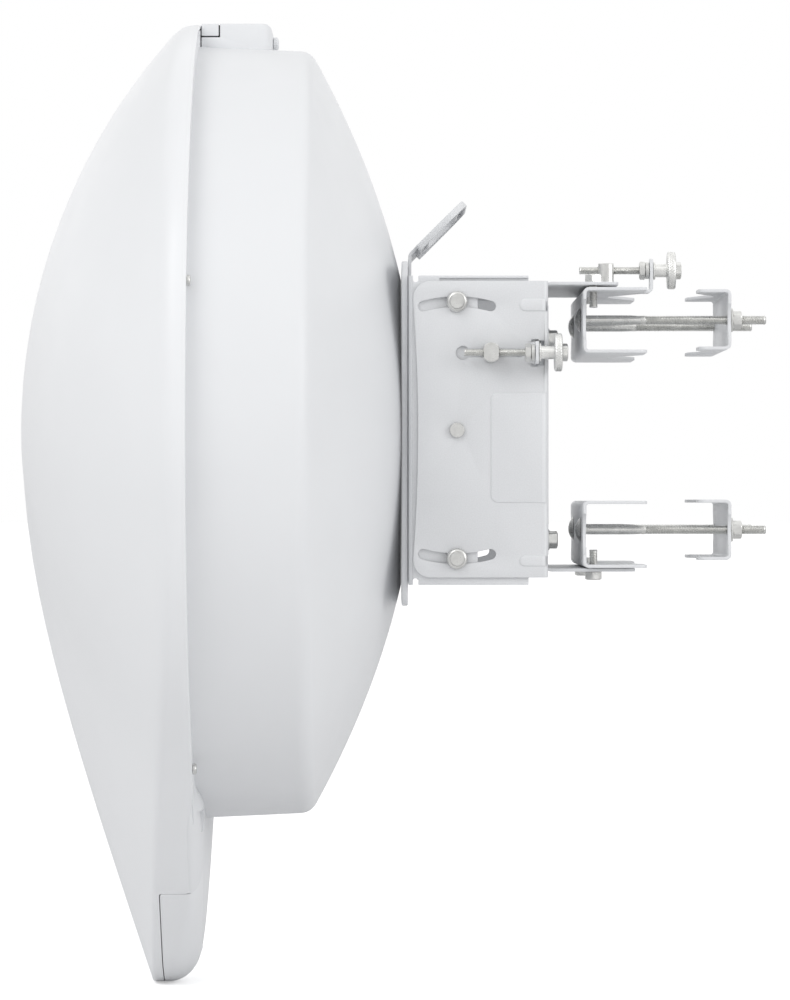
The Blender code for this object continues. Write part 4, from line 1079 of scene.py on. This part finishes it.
def make_outer_bracket():
    low, high = span("outer_bracket")
    half = -low.x - EMBOSS
    corner = 11.0
    hollow = 3.1                # how far the front edge bows in at mid height
    reach = high.z - 12
    edge_radius = (reach ** 2 + hollow ** 2) / (2 * hollow)
    swing = math.degrees(math.asin((reach - 14) / edge_radius))
    trim = [(low.y - 6, low.z - 4), (low.y + corner, low.z - 4)]
    trim += arc((low.y + corner, low.z + corner), corner, 270, 180, 12)
    trim += arc((low.y + hollow - edge_radius, 0), edge_radius, -swing, swing, 24)
    trim += arc((low.y + corner, high.z - corner), corner, 180, 90, 12)
    trim += [(low.y + corner, high.z + 4), (low.y - 6, high.z + 4)]
    body = channel(half, -SHEET, 0, low.y, low.z, high.z)
    screw = middle("elevation_screw")
    ear_y = (span("elevation_collar_nut")[1].y + 0.3, span("elevation_knob")[0].y - 0.3)
    ear_end = high.x
    ear = prism("Z", fillet([(half - SHEET, -15, 0), (half - SHEET, ear_y[1], BEND + SHEET), (ear_end, ear_y[1], 0),
                             (ear_end, ear_y[0], 0), (half, ear_y[0], BEND), (half, -15, 0)]),
                screw.z - 7, screw.z + 7)
    ear = common(ear, [prism("Y", fillet([(half - 4, screw.z - 7, 0), (ear_end, screw.z - 7, 3), (ear_end, screw.z + 7, 3),
                                          (half - 4, screw.z + 7, 0)]), -20, 0)])
    skin_radius = BEND + SHEET + EMBOSS
    room = prism("Z", fillet([(-half - EMBOSS, -60, 0), (half + EMBOSS, -60, 0), (half + EMBOSS, 0, skin_radius),
                              (-half - EMBOSS, 0, skin_radius)]), low.z, high.z)
    panels = []
    for side in (1, -1):
        for start, end, radius in (((-36.3, -45.5), (1.0, 23.5), 4.5), ((-18.3, 74.5), (1.0, 82.4), 3.6),
                                   ((-18.3, -85.3), (1.0, -78.5), 3.2)):
            panels.append(common(raised_panel(start, end, radius, side, half), [room.copy()]))
    room.free()
    cuts = [prism("X", trim, -130, 130)] + side_holes(6.6) + arm_bolt_holes()
    cuts.append(prism("X", slot((-54.0, screw.z), (-18, screw.z), 5.4), half - 6, half + 6))
    cuts.append(turned("X", (0, -53.7, screw.z), [(0, half - 6), (4.4, half - 6), (4.4, half + 6), (0, half + 6)], 32))
    cuts.append(box((half - 6, ear_y[1] + 0.15, screw.z - 7.8), (half + 2, -2.9, screw.z + 7.8)))
    cuts.append(box((half - 6, -11, screw.z + 7.1), (half + 2, ear_y[1] + 0.3, screw.z + 8.6)))
    cuts.append(box((half - 6, -11, screw.z - 8.6), (half + 2, ear_y[1] + 0.3, screw.z - 7.1)))
    cuts.append(turned("Y", (screw.x, 0, screw.z), [(0, -12), (2.9, -12), (2.9, -3), (0, -3)], 32))
    for side in (1, -1):
        for slit in ((74.7, 80.7), (-84.9, -79.0)):
            across = sorted((side * (half - 3.5), side * (half + 1)))
            cuts.append(box((across[0], -1.9, slit[0]), (across[1], -0.7, slit[1])))
        for end in (1, -1):
            across = sorted((side * 97.5, side * (half - SHEET)))
            tall = sorted((end * 78, end * 100))
            cuts.append(box((across[0], -SHEET - 3, tall[0]), (across[1], 1, tall[1])))
    arm_half = span("upper_arm")[1].x + 0.3
    cuts.append(box((-arm_half, -SHEET - 1, span("upper_arm")[1].z - 5.7), (arm_half, 1, 100)))
    cuts.append(box((-arm_half, -SHEET - 1, -100), (arm_half, 1, span("lower_arm")[0].z + 5.7)))
    body = cut(join(body, [ear, *panels]), cuts)
    piece("outer_bracket", soften(body, 0.28), "paint", "outer_bracket", flat=True)


ARM_BEND = 5.0


def bent_arm(node, plan):
    """An L-shaped arm: a foot bolted inside the web, and a level leg with a given plan outline."""
    low, high = span(node)
    foot, level = (low.z, high.z) if abs(high.z) > abs(low.z) else (high.z, low.z)
    inner = level - math.copysign(SHEET, level)
    profile = [(low.y, foot, 0), (low.y + SHEET, foot, 0), (low.y + SHEET, inner, ARM_BEND),
               (high.y, inner, 0), (high.y, level, 0), (low.y, level, ARM_BEND + SHEET)]
    front = [(low.x, foot, 7), (high.x, foot, 7), (high.x, level * 1.1, 0), (low.x, level * 1.1, 0)]
    body = prism("X", fillet(profile), low.x, high.x)
    body = common(body, [prism("Z", fillet(plan), low.z - 2, high.z + 2),
                         prism("Y", fillet(front), low.y - 2, high.y + 2)])
    cuts = arm_bolt_holes()
    lock_x = middle("azimuth_bolt_upper_left").x
    for angle in (0, 180):
        cuts.append(prism("Z", curved_slot((0, AZIMUTH_Y), lock_x, angle, 7.4, 6.7), -100, 100))
    cuts.append(turned("Z", (0, AZIMUTH_Y, 0), [(0, -100), (3.4, -100), (3.4, 100), (0, 100)], 32))
    return body, cuts


def arm_plan(half, rear, notch_half, notch_depth, notch_round):
    """Plan of an arm, with a V notch in its rear edge that clears the mast."""
    return [(-half, -10, 0), (half, -10, 0), (half, rear, 7), (notch_half, rear, 3),
            (0, rear - notch_depth, notch_round), (-notch_half, rear, 3), (-half, rear, 7)]


def make_arms():
    low, high = span("upper_arm")
    pin = middle("azimuth_trunnion")
    body, cuts = bent_arm("upper_arm", arm_plan(high.x, high.y, 16, 6.6, 4))
    cuts.append(prism("Z", slot((pin.x - 1.6, pin.y), (pin.x + 1, pin.y), 6.2), 80, 100))
    piece("upper_arm", soften(cut(body, cuts), 0.28), "paint", "upper_arm", flat=True)
    low, high = span("lower_arm")
    body, cuts = bent_arm("lower_arm", arm_plan(high.x, high.y, 56, 17.2, 5))
    piece("lower_arm", soften(cut(body, cuts), 0.28), "paint", "lower_arm", flat=True)


def hex_bolt(node, axis, outward, height, radius, turn=0.0, flange=0.0):
    """A hex bolt whose head points along `outward` (1 or -1) of an axis, sized from its node."""
    low, high = span(node)
    centre = (low + high) / 2
    index = "XYZ".index(axis)
    tip, top = (low[index], high[index]) if outward > 0 else (high[index], low[index])
    foot = top - outward * height
    centre[index] = 0
    rings = [(0, tip), (radius * 0.8, tip), (radius, tip + outward * 0.5)]
    rings += thread_rings(radius, 1.0, tip + outward * 0.5, foot - outward * 0.3)
    if flange:
        rings += [(flange - 0.3, foot), (flange, foot + outward * 0.3), (flange, foot + outward * 0.8),
                  (flange - 0.3, foot + outward)]
        foot += outward
    rings += hex_rings(HEX, foot, top - outward * 0.25, turn)
    rings += [(HEX * 0.44, top - outward * 0.25), (HEX * 0.40, top), (0, top)]
    return turned(axis, centre, rings)


def make_arm_bolts():
    for height in ("upper", "lower"):
        for side, _ in SIDES:
            node = f"arm_bolt_{height}_{side}"
            piece(node, hex_bolt(node, "Y", 1, 6.3, 3.0, 10, 6.6), "head", node)


LOOP_HALF = 55.0
LOOP_RIM = (6.5, 49.0)          # along the slope, from where it leaves the web
LOOP_DEPTH = 4.3
LOOP_FOOT_Z = 113.4


def sloped(mesh, web_front):
    """Lays a mesh on the 45 degree slope that starts on top of the inner bracket's web."""
    bmesh.ops.rotate(mesh, verts=mesh.verts[:], cent=(0, 0, 0), matrix=Matrix.Rotation(math.radians(45), 3, "X"))
    bmesh.ops.translate(mesh, verts=mesh.verts[:], vec=(0, web_front, LOOP_FOOT_Z))
    return mesh


def lifting_loop(web_front, web_back, neck_low):
    """A pressed ring with a turned-down rim, on a tongue of the web that bends back to carry it."""
    near, far = LOOP_RIM
    skin_low = -SHEET
    outer = [(-LOOP_HALF, near, 2), (LOOP_HALF, near, 2), (LOOP_HALF, far, 17), (-LOOP_HALF, far, 17)]
    ring = prism("Z", fillet(outer), -LOOP_DEPTH, 0)
    inset = 1.8
    pocket = prism("Z", fillet([(-LOOP_HALF + inset, near + inset, 1), (LOOP_HALF - inset, near + inset, 1),
                                (LOOP_HALF - inset, far - inset, 15.2), (-LOOP_HALF + inset, far - inset, 15.2)]),
                   -LOOP_DEPTH - 1, skin_low)
    ring = cut(ring, [pocket])
    ring = cut(ring, [prism("Z", rounded((14 - LOOP_HALF, near + 9), (LOOP_HALF - 14, far - 9), 8), -LOOP_DEPTH - 1, 1)])
    collar_outer = rounded((12.2 - LOOP_HALF, near + 7.2), (LOOP_HALF - 12.2, far - 7.2), 9.8)
    collar_inner = rounded((14 - LOOP_HALF, near + 9), (LOOP_HALF - 14, far - 9), 8)
    collar = prism("Z", collar_outer, -LOOP_DEPTH + 0.6, -SHEET / 2, holes=[collar_inner])
    bend = 5.0
    reach = near + 4
    slope = math.tan(math.radians(22.5)) * SHEET
    offset = SHEET / math.sqrt(2)
    end = reach / math.sqrt(2)
    neck = prism("X", fillet([(web_front, neck_low, 0), (web_back, neck_low, 0),
                              (web_back, LOOP_FOOT_Z - slope, bend - SHEET),
                              (web_front + end + offset, LOOP_FOOT_Z + end - offset, 0),
                              (web_front + end, LOOP_FOOT_Z + end, 0), (web_front, LOOP_FOOT_Z, bend)]),
                 5 - LOOP_HALF, LOOP_HALF - 5)
    return [sloped(join(ring, [collar]), web_front), neck]


def make_inner_bracket():
    low, high = span("inner_bracket")
    front = span("dish_plate")[1].y + 0.3
    web = (front, front + SHEET)
    half, tall = high.x, -low.z
    lip_rear = high.y
    lip_x = 97.5
    body = channel(half, *web, lip_rear, -tall, tall)
    tab_rear, tab_low, tab_high = -20.0, 35.0, 64.0
    open_side = [(INNER_REAR, -91, 3), (0, -91, 0), (0, 91, 0), (INNER_REAR, 91, 3)]
    tabbed = [(INNER_REAR, -91, 3), (0, -91, 0), (0, 91, 0), (INNER_REAR, 91, 3), (INNER_REAR, tab_high, 2),
              (tab_rear, tab_high, 4), (tab_rear, tab_low, 4), (INNER_REAR, tab_low, 2)]
    cuts = [prism("X", fillet(open_side), -120, 95), prism("X", fillet(tabbed), 90, 120)] + side_holes(0)
    lips = []
    for side in (1, -1):
        for end in (1, -1):
            across = sorted((side * lip_x, side * (half - 0.8)))
            level = sorted((end * (tall - SHEET), end * tall))
            lips.append(box((across[0], -82.1, level[0]), (across[1], lip_rear, level[1])))
            across = sorted((side * 96, side * 110))
            notch = sorted((end * 92.9, end * 104))
            cuts.append(prism("X", rounded((-85.0, notch[0]), (-81.6, notch[1]), 1.5), *across))
            cuts.append(turned("X", (0, PIVOT.y, end * SLOT_RADIUS), [(0, -130), (3.3, -130), (3.3, 130), (0, 130)], 32))
        across = sorted((side * (half - 1.3), side * (half + 1)))
        cuts.append(box((across[0], -68.3, 90), (across[1], lip_rear + 1, tall - 1.6)))
    pin = middle("elevation_trunnion")
    lean = math.atan2(pin.y - PIVOT.y, pin.z)
    ends = [(PIVOT.y + reach * math.sin(lean), reach * math.cos(lean)) for reach in (48.6, 58.6)]
    cuts.append(prism("X", slot(*ends, 6.8), 100, 115))
    body = cut(join(body, lips), cuts)
    body = join(body, lifting_loop(*web, tall - 4))
    piece("inner_bracket", soften(body, 0.28), "paint", "inner_bracket", flat=True)


def make_dish_plate():
    low, high = span("dish_plate")
    plate = prism("Y", rounded((low.x, low.z), (high.x, high.z), 14), low.y, high.y)
    screws = []
    for x in (-70, 70):
        for z in (-84, 84):
            screws.append(turned("Y", (x, 0, z), [(0, high.y - 1), (4, high.y - 1), (4, high.y + 1), (0, high.y + 1)], 32))
    piece("dish_plate", soften(cut(plate, screws), 1.1, segments=4), "paint", "dish_plate", flat=True)


def make_elevation_fasteners():
    """Shouldered lock bolts: a bright rolled rim round a flat, turned disc; and the pivot rivets."""
    for side, sign in SIDES:
        for height in ("upper", "lower"):
            node = f"elevation_bolt_{height}_{side}"
            low, high = span(node)
            centre = (low + high) / 2
            start, end = (low.x, high.x) if sign > 0 else (high.x, low.x)
            head = end - sign * 5.3
            rim = (high.z - low.z) / 2
            rings = [(0, start), (2.6, start), (3.0, start + sign * 0.4)]
            rings += thread_rings(3.0, 1.0, start + sign * 0.4, head - sign * 0.5)
            rings += [(3.0, head), (rim - 0.5, head), (rim, head + sign * 0.5), (rim, head + sign * 1.5)]
            for angle in (15, 30, 45, 60, 75, 90):
                turn = math.radians(angle)
                rings.append((rim - 1.7 * (1 - math.cos(turn)), head + sign * (1.5 + 2.3 * math.sin(turn))))
            rings += [(rim - 1.9, head + sign * 3.7), (rim - 1.95, head + sign * 3.3), (rim - 2.1, head + sign * 3.3),
                      (rim - 2.1, end - sign * 0.35), (rim - 2.4, end), (0.5, end), (0, end)]
            piece(node, turned("X", (0, centre.y, centre.z), rings), "head", node)
        node = f"elevation_pivot_{side}"
        low, high = span(node)
        start, end = (low.x, high.x) if sign > 0 else (high.x, low.x)
        head = end - sign * 2.3
        radius = (high.z - low.z) / 2
        rings = [(0, start), (3.0, start), (3.0, head), (radius, head), (radius, end - sign * 0.4),
                 (radius - 0.4, end), (0.5, end), (0, end)]
        piece(node, turned("X", (0, PIVOT.y, 0), rings), "head", node)


# ---------------------------------------------------------------- adjusters

def knurled(radius, low, high):
    """Rings of a diamond-knurled rim with bevelled shoulders."""
    teeth = 44
    depth = 0.3
    span_y = high - low

    def reach(angle, along):
        lift = 1 - abs(2 * (along - low) / span_y - 1) ** 6
        slant = math.tau * (along - low) / 2.6
        first = abs(math.sin((teeth * angle + slant) / 2))
        second = abs(math.sin((teeth * angle - slant) / 2))
        return radius - 0.75 + 0.75 * lift - depth * (1 - min(first, second))

    steps = 14
    return [(reach, low + span_y * step / steps) for step in range(steps + 1)]


def make_drive(name):
    """An adjuster: a long screw with a hex head, its collar nut, washers and knurled knob."""
    low, high = span(f"{name}_screw")
    centre = (low + high) / 2
    place = (centre.x, 0, centre.z)
    head_start = span(f"{name}_knob")[1].y + 0.3
    rings = [(0, low.y), (2.0, low.y), (2.5, low.y + 0.5)]
    rings += thread_rings(2.5, 0.8, low.y + 0.5, head_start - 0.2)
    rings += hex_rings(10, head_start, high.y - 0.25, 8) + [(4.3, high.y - 0.25), (4.0, high.y), (0, high.y)]
    piece(f"{name}_screw", turned("Y", place, rings, 36), "steel", f"{name}_screw")

    low, high = span(f"{name}_collar_nut")
    split = low.y + (high.y - low.y) * 0.62
    nut = bored_hex("Y", place, 10, low.y, split - 0.05, 2.9)
    plate = washer("Y", place, 5.3, 2.9, split + 0.1, high.y)
    piece(f"{name}_collar_nut", merged([nut, plate]), "head", f"{name}_collar_nut")

    low, high = span(f"{name}_knob")
    rim = (high.x - low.x) / 2
    face = high.y - (5.1 if name == "elevation" else 5.5)
    rings = [(2.9, low.y), (5.6, low.y), (5.75, low.y + 0.2), (5.75, low.y + 1.1), (5.6, low.y + 1.3),
             (4.2, low.y + 1.35), (4.2, face - 0.5), (4.6, face), (rim - 1.9, face), (rim - 1.7, face + 0.15)]
    rings += knurled(rim, face + 0.2, high.y - 0.2)
    rings += [(rim - 1.7, high.y - 0.15), (rim - 2.2, high.y), (6.2, high.y), (5.8, high.y - 0.4), (2.9, high.y - 0.4)]
    piece(f"{name}_knob", turned("Y", place, rings, 264), "knob", f"{name}_knob")


def flatted(radius, half_width):
    """Radius of a round bar with flats facing +Y and -Y, for an axis along X or Z."""
    def reach(angle, _along):
        return min(radius, half_width / max(1e-6, abs(reach.across(angle))))
    return reach


def make_trunnions():
    for name, axis, across in (("elevation", "X", math.cos), ("azimuth", "Z", math.sin)):
        node = f"{name}_trunnion"
        low, high = span(node)
        index = "XYZ".index(axis)
        centre = (low + high) / 2
        screw = middle(f"{name}_screw")
        outer = high[index]
        radius = 6.15
        pin_end = low[index]
        shoulder = pin_end + (6.3 if name == "elevation" else 3.2)
        shape = flatted(radius, 4.85)
        shape.across = across
        bevel = flatted(radius - 0.55, 4.6)
        bevel.across = across
        rings = [(0, pin_end), (2.0, pin_end), (2.3, pin_end + 0.3), (2.3, shoulder), (bevel, shoulder),
                 (shape, shoulder + 0.5), (shape, outer - 0.6), (bevel, outer), (0, outer)]
        centre[index] = 0
        body = turned(axis, centre, rings, 64)
        bore = turned("Y", (screw.x, 0, screw.z), [(0, centre.y - 10), (2.85, centre.y - 10), (2.85, centre.y + 10),
                                                   (0, centre.y + 10)], 32)
        piece(node, cut(body, [bore]), "head", node)


# ---------------------------------------------------------------- mast clamps

def clamp_section(web, tip_y, low_z, high_z):
    """A bent channel section in Y and Z, open towards tip_y."""
    outer, inner = web
    return fillet([(tip_y, low_z, 0), (outer, low_z, BEND + SHEET), (outer, high_z, BEND + SHEET),
                   (tip_y, high_z, 0), (tip_y, high_z - SHEET, 0), (inner, high_z - SHEET, BEND),
                   (inner, low_z + SHEET, BEND), (tip_y, low_z + SHEET, 0)])


def clamp_plan(half, web_y, tip_y, mouth, floor_y):
    """Plan of a clamp: its length, rounded tips and the V notch for the mast."""
    return [(-half, web_y, 0), (half, web_y, 0), (half, tip_y, 5), (mouth, tip_y, 2.5), (7, floor_y, 2),
            (-7, floor_y, 2), (-mouth, tip_y, 2.5), (-half, tip_y, 5)]


def waisted_ends(half, centre_z, depth, chord, low_y, high_y):
    """Shallow arcs cut into both ends of a clamp's web."""
    radius = (chord ** 2 + depth ** 2) / (2 * depth)
    cuts = []
    for side in (1, -1):
        outline = circle((side * (half + radius - depth), centre_z), radius, 96)
        cuts.append(prism("Y", outline, low_y, high_y))
    return cuts


def rod_holes(rod_z, low_y, high_y):
    x = middle("clamp_rod_upper_left").x
    return [turned("Y", (side * x, 0, rod_z), [(0, low_y), (3.4, low_y), (3.4, high_y), (0, high_y)], 32)
            for side in (1, -1)]


def make_front_clamps():
    for label in ("upper", "lower"):
        node = f"front_clamp_{label}"
        low, high = span(node)
        rod_z = middle(f"clamp_rod_{label}_left").z
        top = high.z
        if label == "upper":
            top = low.z + 41.2
        web_y = low.y
        tip_y = 62.0
        body = prism("X", clamp_section((web_y, web_y + SHEET), tip_y, low.z, top), low.x, high.x)
        plan = clamp_plan(high.x, web_y - 1, tip_y, 55, -HUB.y / MM)
        body = common(body, [prism("Z", fillet(plan), low.z - 2, top + 2)])
        cuts = rod_holes(rod_z, web_y - 2, web_y + 5)
        cuts += waisted_ends(high.x, (low.z + top) / 2, 9, 13, web_y - 1, web_y + SHEET + 0.1)
        flange = top if label == "upper" else low.z
        lock_x = middle("azimuth_bolt_upper_left").x
        for x in (0, lock_x, -lock_x):
            cuts.append(turned("Z", (x, AZIMUTH_Y, 0), [(0, flange - 5), (3.4, flange - 5), (3.4, flange + 5),
                                                        (0, flange + 5)], 32))
        if label == "upper":
            screw = middle("azimuth_screw")
            tab = prism("X", fillet([(tip_y - 6, top - SHEET, 0), (high.y, top - SHEET, BEND + SHEET),
                                     (high.y, high.z, 0), (high.y - SHEET, high.z, 0),
                                     (high.y - SHEET, top, BEND), (tip_y - 6, top, 0)]), screw.x - 8, screw.x + 8)
            crown = prism("Y", fillet([(screw.x - 8, top - 4, 0), (screw.x + 8, top - 4, 0),
                                       (screw.x + 8, high.z, 6), (screw.x - 8, high.z, 6)]), 40, 80)
            body = join(body, [common(tab, [crown])])
            cuts.append(turned("Y", (screw.x, 0, screw.z), [(0, 60), (2.9, 60), (2.9, 75), (0, 75)], 32))
        piece(node, soften(cut(body, cuts), 0.28), "paint", node, flat=True)


def make_clamp_rods():
    """Carriage bolts: a domed head, a square neck, a bright shank and a long thread."""
    for label in ("upper", "lower"):
        for side, _ in SIDES:
            node = f"clamp_rod_{label}_{side}"
            low, high = span(node)
            centre = (low + high) / 2
            web = span(f"front_clamp_{label}")[0].y
            radius = (high.x - low.x) / 2
            rise = web - 0.3 - low.y
            sphere = (radius ** 2 + rise ** 2) / (2 * rise)
            rings = [(0, low.y)]
            for step in range(1, 10):
                reach = radius * math.sin(math.pi / 2 * step / 9)
                rings.append((reach, low.y + sphere - math.sqrt(sphere ** 2 - reach ** 2)))

            def square(angle, _along):
                away = (angle + math.pi / 4) % (math.pi / 2) - math.pi / 4
                return min(3.28, 2.95 / math.cos(away))

            rings += [(radius - 0.2, web - 0.25), (square, web - 0.25), (square, web + 4.0), (3.05, web + 5.2),
                      (3.05, web + 32), (2.86, web + 38), (2.95, web + 40.5)]
            rings += thread_rings(3.0, 1.0, web + 41, high.y - 0.7)
            rings += [(2.4, high.y - 0.3), (2.1, high.y), (0, high.y)]
            piece(node, turned("Y", (centre.x, 0, centre.z), rings, 36), "steel", node)


def make_azimuth_fasteners():
    for label, outward in (("upper", 1), ("lower", -1)):
        for side, sign in SIDES:
            node = f"azimuth_bolt_{label}_{side}"
            piece(node, hex_bolt(node, "Z", outward, 5.0, 2.75, 22 * sign), "head", node)
        node = f"azimuth_pivot_{label}"
        low, high = span(node)
        tip, top = (low.z, high.z) if outward > 0 else (high.z, low.z)
        rings = [(0, tip), (3.0, tip), (3.0, top - outward * 2.4), (6.0, top - outward * 2.4),
                 (6.0, top - outward * 1.2), (5.4, top - outward * 0.5), (3.6, top - outward * 0.1), (0, top)]
        piece(node, turned("Z", (0, AZIMUTH_Y, 0), rings), "head", node)


def make_rear_clamps():
    for label in ("upper", "lower"):
        node = f"rear_clamp_{label}"
        low, high = span(node)
        rod_z = middle(f"clamp_rod_{label}_left").z
        body = prism("X", clamp_section((high.y, high.y - SHEET), low.y, low.z, high.z), low.x, high.x)
        plan = clamp_plan(high.x, high.y + 1, low.y, 50, 110.0)
        body = common(body, [prism("Z", fillet(plan), low.z - 2, high.z + 2)])
        cuts = rod_holes(rod_z, high.y - 5, high.y + 2)
        cuts += waisted_ends(high.x, (low.z + high.z) / 2, 4, 10, high.y - SHEET - 0.1, high.y + 1)
        piece(node, soften(cut(body, cuts), 0.28), "paint", node, flat=True)
        for side, _ in SIDES:
            node = f"clamp_nut_{label}_{side}"
            low_nut, high_nut = span(node)
            centre = (low_nut + high_nut) / 2
            place = (centre.x, 0, centre.z)
            plate_end = low_nut.y + 1.4
            plate = washer("Y", place, (high_nut.x - low_nut.x) / 2, 3.3, low_nut.y, plate_end)
            nut = bored_hex("Y", place, 10, plate_end + 0.02, high_nut.y, 3.3)
            piece(node, merged([plate, nut]), "head", node)


# ---------------------------------------------------------------- inside the dish

def finish_hidden_nodes():
    """The pieces inside the dish keep their CAD shape and take a detailed finish."""
    finishes = {"reflector": "aluminium", "feed_tube": "aluminium", "subreflector": "housing", "rim_seal": "rubber",
                "radio_board": "board", "port_board": "board", "heat_spreader": "aluminium",
                "network_jack": "head", "fibre_cage": "head"}
    for node, finish in finishes.items():
        made = frame["nodes"][node]
        material, slot_name = FINISH[finish]
        made.data.materials.clear()
        made.data.materials.append(material)


# ---------------------------------------------------------------- studio

def shade_ramp(tree, source, stops):
    ramp = tree.nodes.new("ShaderNodeValToRGB")
    tree.links.new(source, ramp.inputs["Fac"])
    while len(ramp.color_ramp.elements) < len(stops):
        ramp.color_ramp.elements.new(0.5)
    for element, (position, value) in zip(ramp.color_ramp.elements, stops):
        element.position = position
        element.color = (value, value, value, 1.0)
    return ramp.outputs["Color"]


def make_world():
    """White behind the object; soft light from above; darker bands that only metal reflects."""
    world = bpy.data.worlds.new("studio")
    bpy.context.scene.world = world
    world.use_nodes = True
    tree = world.node_tree
    tree.nodes.clear()
    place = tree.nodes.new("ShaderNodeTexCoord").outputs["Generated"]
    split = tree.nodes.new("ShaderNodeSeparateXYZ")
    tree.links.new(place, split.inputs["Vector"])
    height = tree.nodes.new("ShaderNodeMapRange")
    height.inputs["From Min"].default_value = -1.0
    tree.links.new(split.outputs["Z"], height.inputs["Value"])
    path = tree.nodes.new("ShaderNodeLightPath")

    def background(source):
        node = tree.nodes.new("ShaderNodeBackground")
        if isinstance(source, float):
            node.inputs["Color"].default_value = (source, source, source, 1.0)
        else:
            tree.links.new(source, node.inputs["Color"])
        return node.outputs["Background"]

    def choose(share, first, second):
        node = tree.nodes.new("ShaderNodeMixShader")
        tree.links.new(share, node.inputs["Fac"])
        tree.links.new(first, node.inputs[1])
        tree.links.new(second, node.inputs[2])
        return node.outputs["Shader"]

    result = height.outputs["Result"]
    soft = background(shade_ramp(tree, result, WORLD_SOFT))
    bands = background(shade_ramp(tree, result, WORLD_BANDS))
    lit = choose(path.outputs["Is Glossy Ray"], soft, bands)
    shown = choose(path.outputs["Is Camera Ray"], lit, background(1.0))
    output = tree.nodes.new("ShaderNodeOutputWorld")
    tree.links.new(shown, output.inputs["Surface"])


WORLD_SOFT = ((0.0, 0.86), (0.5, 0.92), (0.65, 0.82), (1.0, 0.72))
WORLD_BANDS = ((0.0, 0.5), (0.3, 0.75), (0.42, 0.35), (0.48, 0.8), (0.53, 0.85), (0.62, 1.4), (0.72, 0.5), (0.82, 1.4),
               (1.0, 1.0))


FLOOR_GLOW = 0.38


def make_floor():
    """A plain pale floor under the lowest point. It is bright to the camera, and a duller grey
    to the light it sends back up."""
    mesh = bpy.data.meshes.new("floor")
    reach = 60.0
    low = CAD_BOX[0].z - 0.0006
    mesh.from_pydata([(-reach, -reach, low), (reach, -reach, low), (reach, reach, low), (-reach, reach, low)], [],
                     [(0, 1, 2, 3)])
    floor = bpy.data.objects.new("floor", mesh)
    bpy.context.scene.collection.objects.link(floor)
    material = bpy.data.materials.new("floor_pale")
    material.use_nodes = True
    tree = material.node_tree
    shader = tree.nodes["Principled BSDF"]
    shader.inputs["Roughness"].default_value = 1.0
    shader.inputs["Specular IOR Level"].default_value = 0.0
    path = tree.nodes.new("ShaderNodeLightPath")
    colour = tree.nodes.new("ShaderNodeMix")
    colour.data_type = "RGBA"
    colour.inputs["A"].default_value = (0.78, 0.78, 0.785, 1.0)
    colour.inputs["B"].default_value = (1.0, 1.0, 1.0, 1.0)
    tree.links.new(path.outputs["Is Camera Ray"], colour.inputs["Factor"])
    tree.links.new(colour.outputs["Result"], shader.inputs["Base Color"])
    shader.inputs["Emission Color"].default_value = (1.0, 1.0, 1.0, 1.0)
    glow = tree.nodes.new("ShaderNodeMath")
    glow.operation = "MULTIPLY"
    glow.inputs[1].default_value = FLOOR_GLOW
    tree.links.new(path.outputs["Is Camera Ray"], glow.inputs[0])
    tree.links.new(glow.outputs["Value"], shader.inputs["Emission Strength"])
    mesh.materials.append(material)


def make_light(name, place, size, power, target):
    data = bpy.data.lights.new(name, "AREA")
    data.shape = "DISK"
    data.size = size
    data.energy = power
    light = bpy.data.objects.new(name, data)
    light.location = place
    light.rotation_euler = (target - Vector(place)).to_track_quat("-Z", "Y").to_euler()
    bpy.context.scene.collection.objects.link(light)


def make_camera():
    """A long lens level with the object, looking along -X at its side."""
    centre = (CAD_BOX[0] + CAD_BOX[1]) / 2
    camera = bpy.data.cameras.new("camera")
    camera.lens = 171.9
    camera.clip_end = 200.0
    made = bpy.data.objects.new("camera", camera)
    made.location = (CAMERA_DISTANCE, centre.y + CAMERA_SHIFT[0], centre.z + CAMERA_SHIFT[1])
    made.rotation_euler = (math.radians(90), 0, math.radians(90))
    bpy.context.scene.collection.objects.link(made)
    bpy.context.scene.camera = made
    return centre


CAMERA_DISTANCE = 3.1
CAMERA_SHIFT = (0.0027, 0.0025)


make_radome()
make_port_cover()
make_rear_shell()
make_chin_lid()
make_radome_screws()
make_pod()
make_pod_screw()
make_outer_bracket()
make_arms()
make_arm_bolts()
make_inner_bracket()
make_dish_plate()
make_elevation_fasteners()
make_drive("elevation")
make_drive("azimuth")
make_trunnions()
make_front_clamps()
make_clamp_rods()
make_azimuth_fasteners()
make_rear_clamps()
finish_hidden_nodes()

make_world()
make_floor()
target = make_camera()
make_light("key", (2.5, -2.2, 2.5), 2.6, 44.0, target)
make_light("rear", (2.0, 2.8, 0.9), 1.8, 26.0, target)
bpy.context.scene.view_settings.view_transform = "Standard"
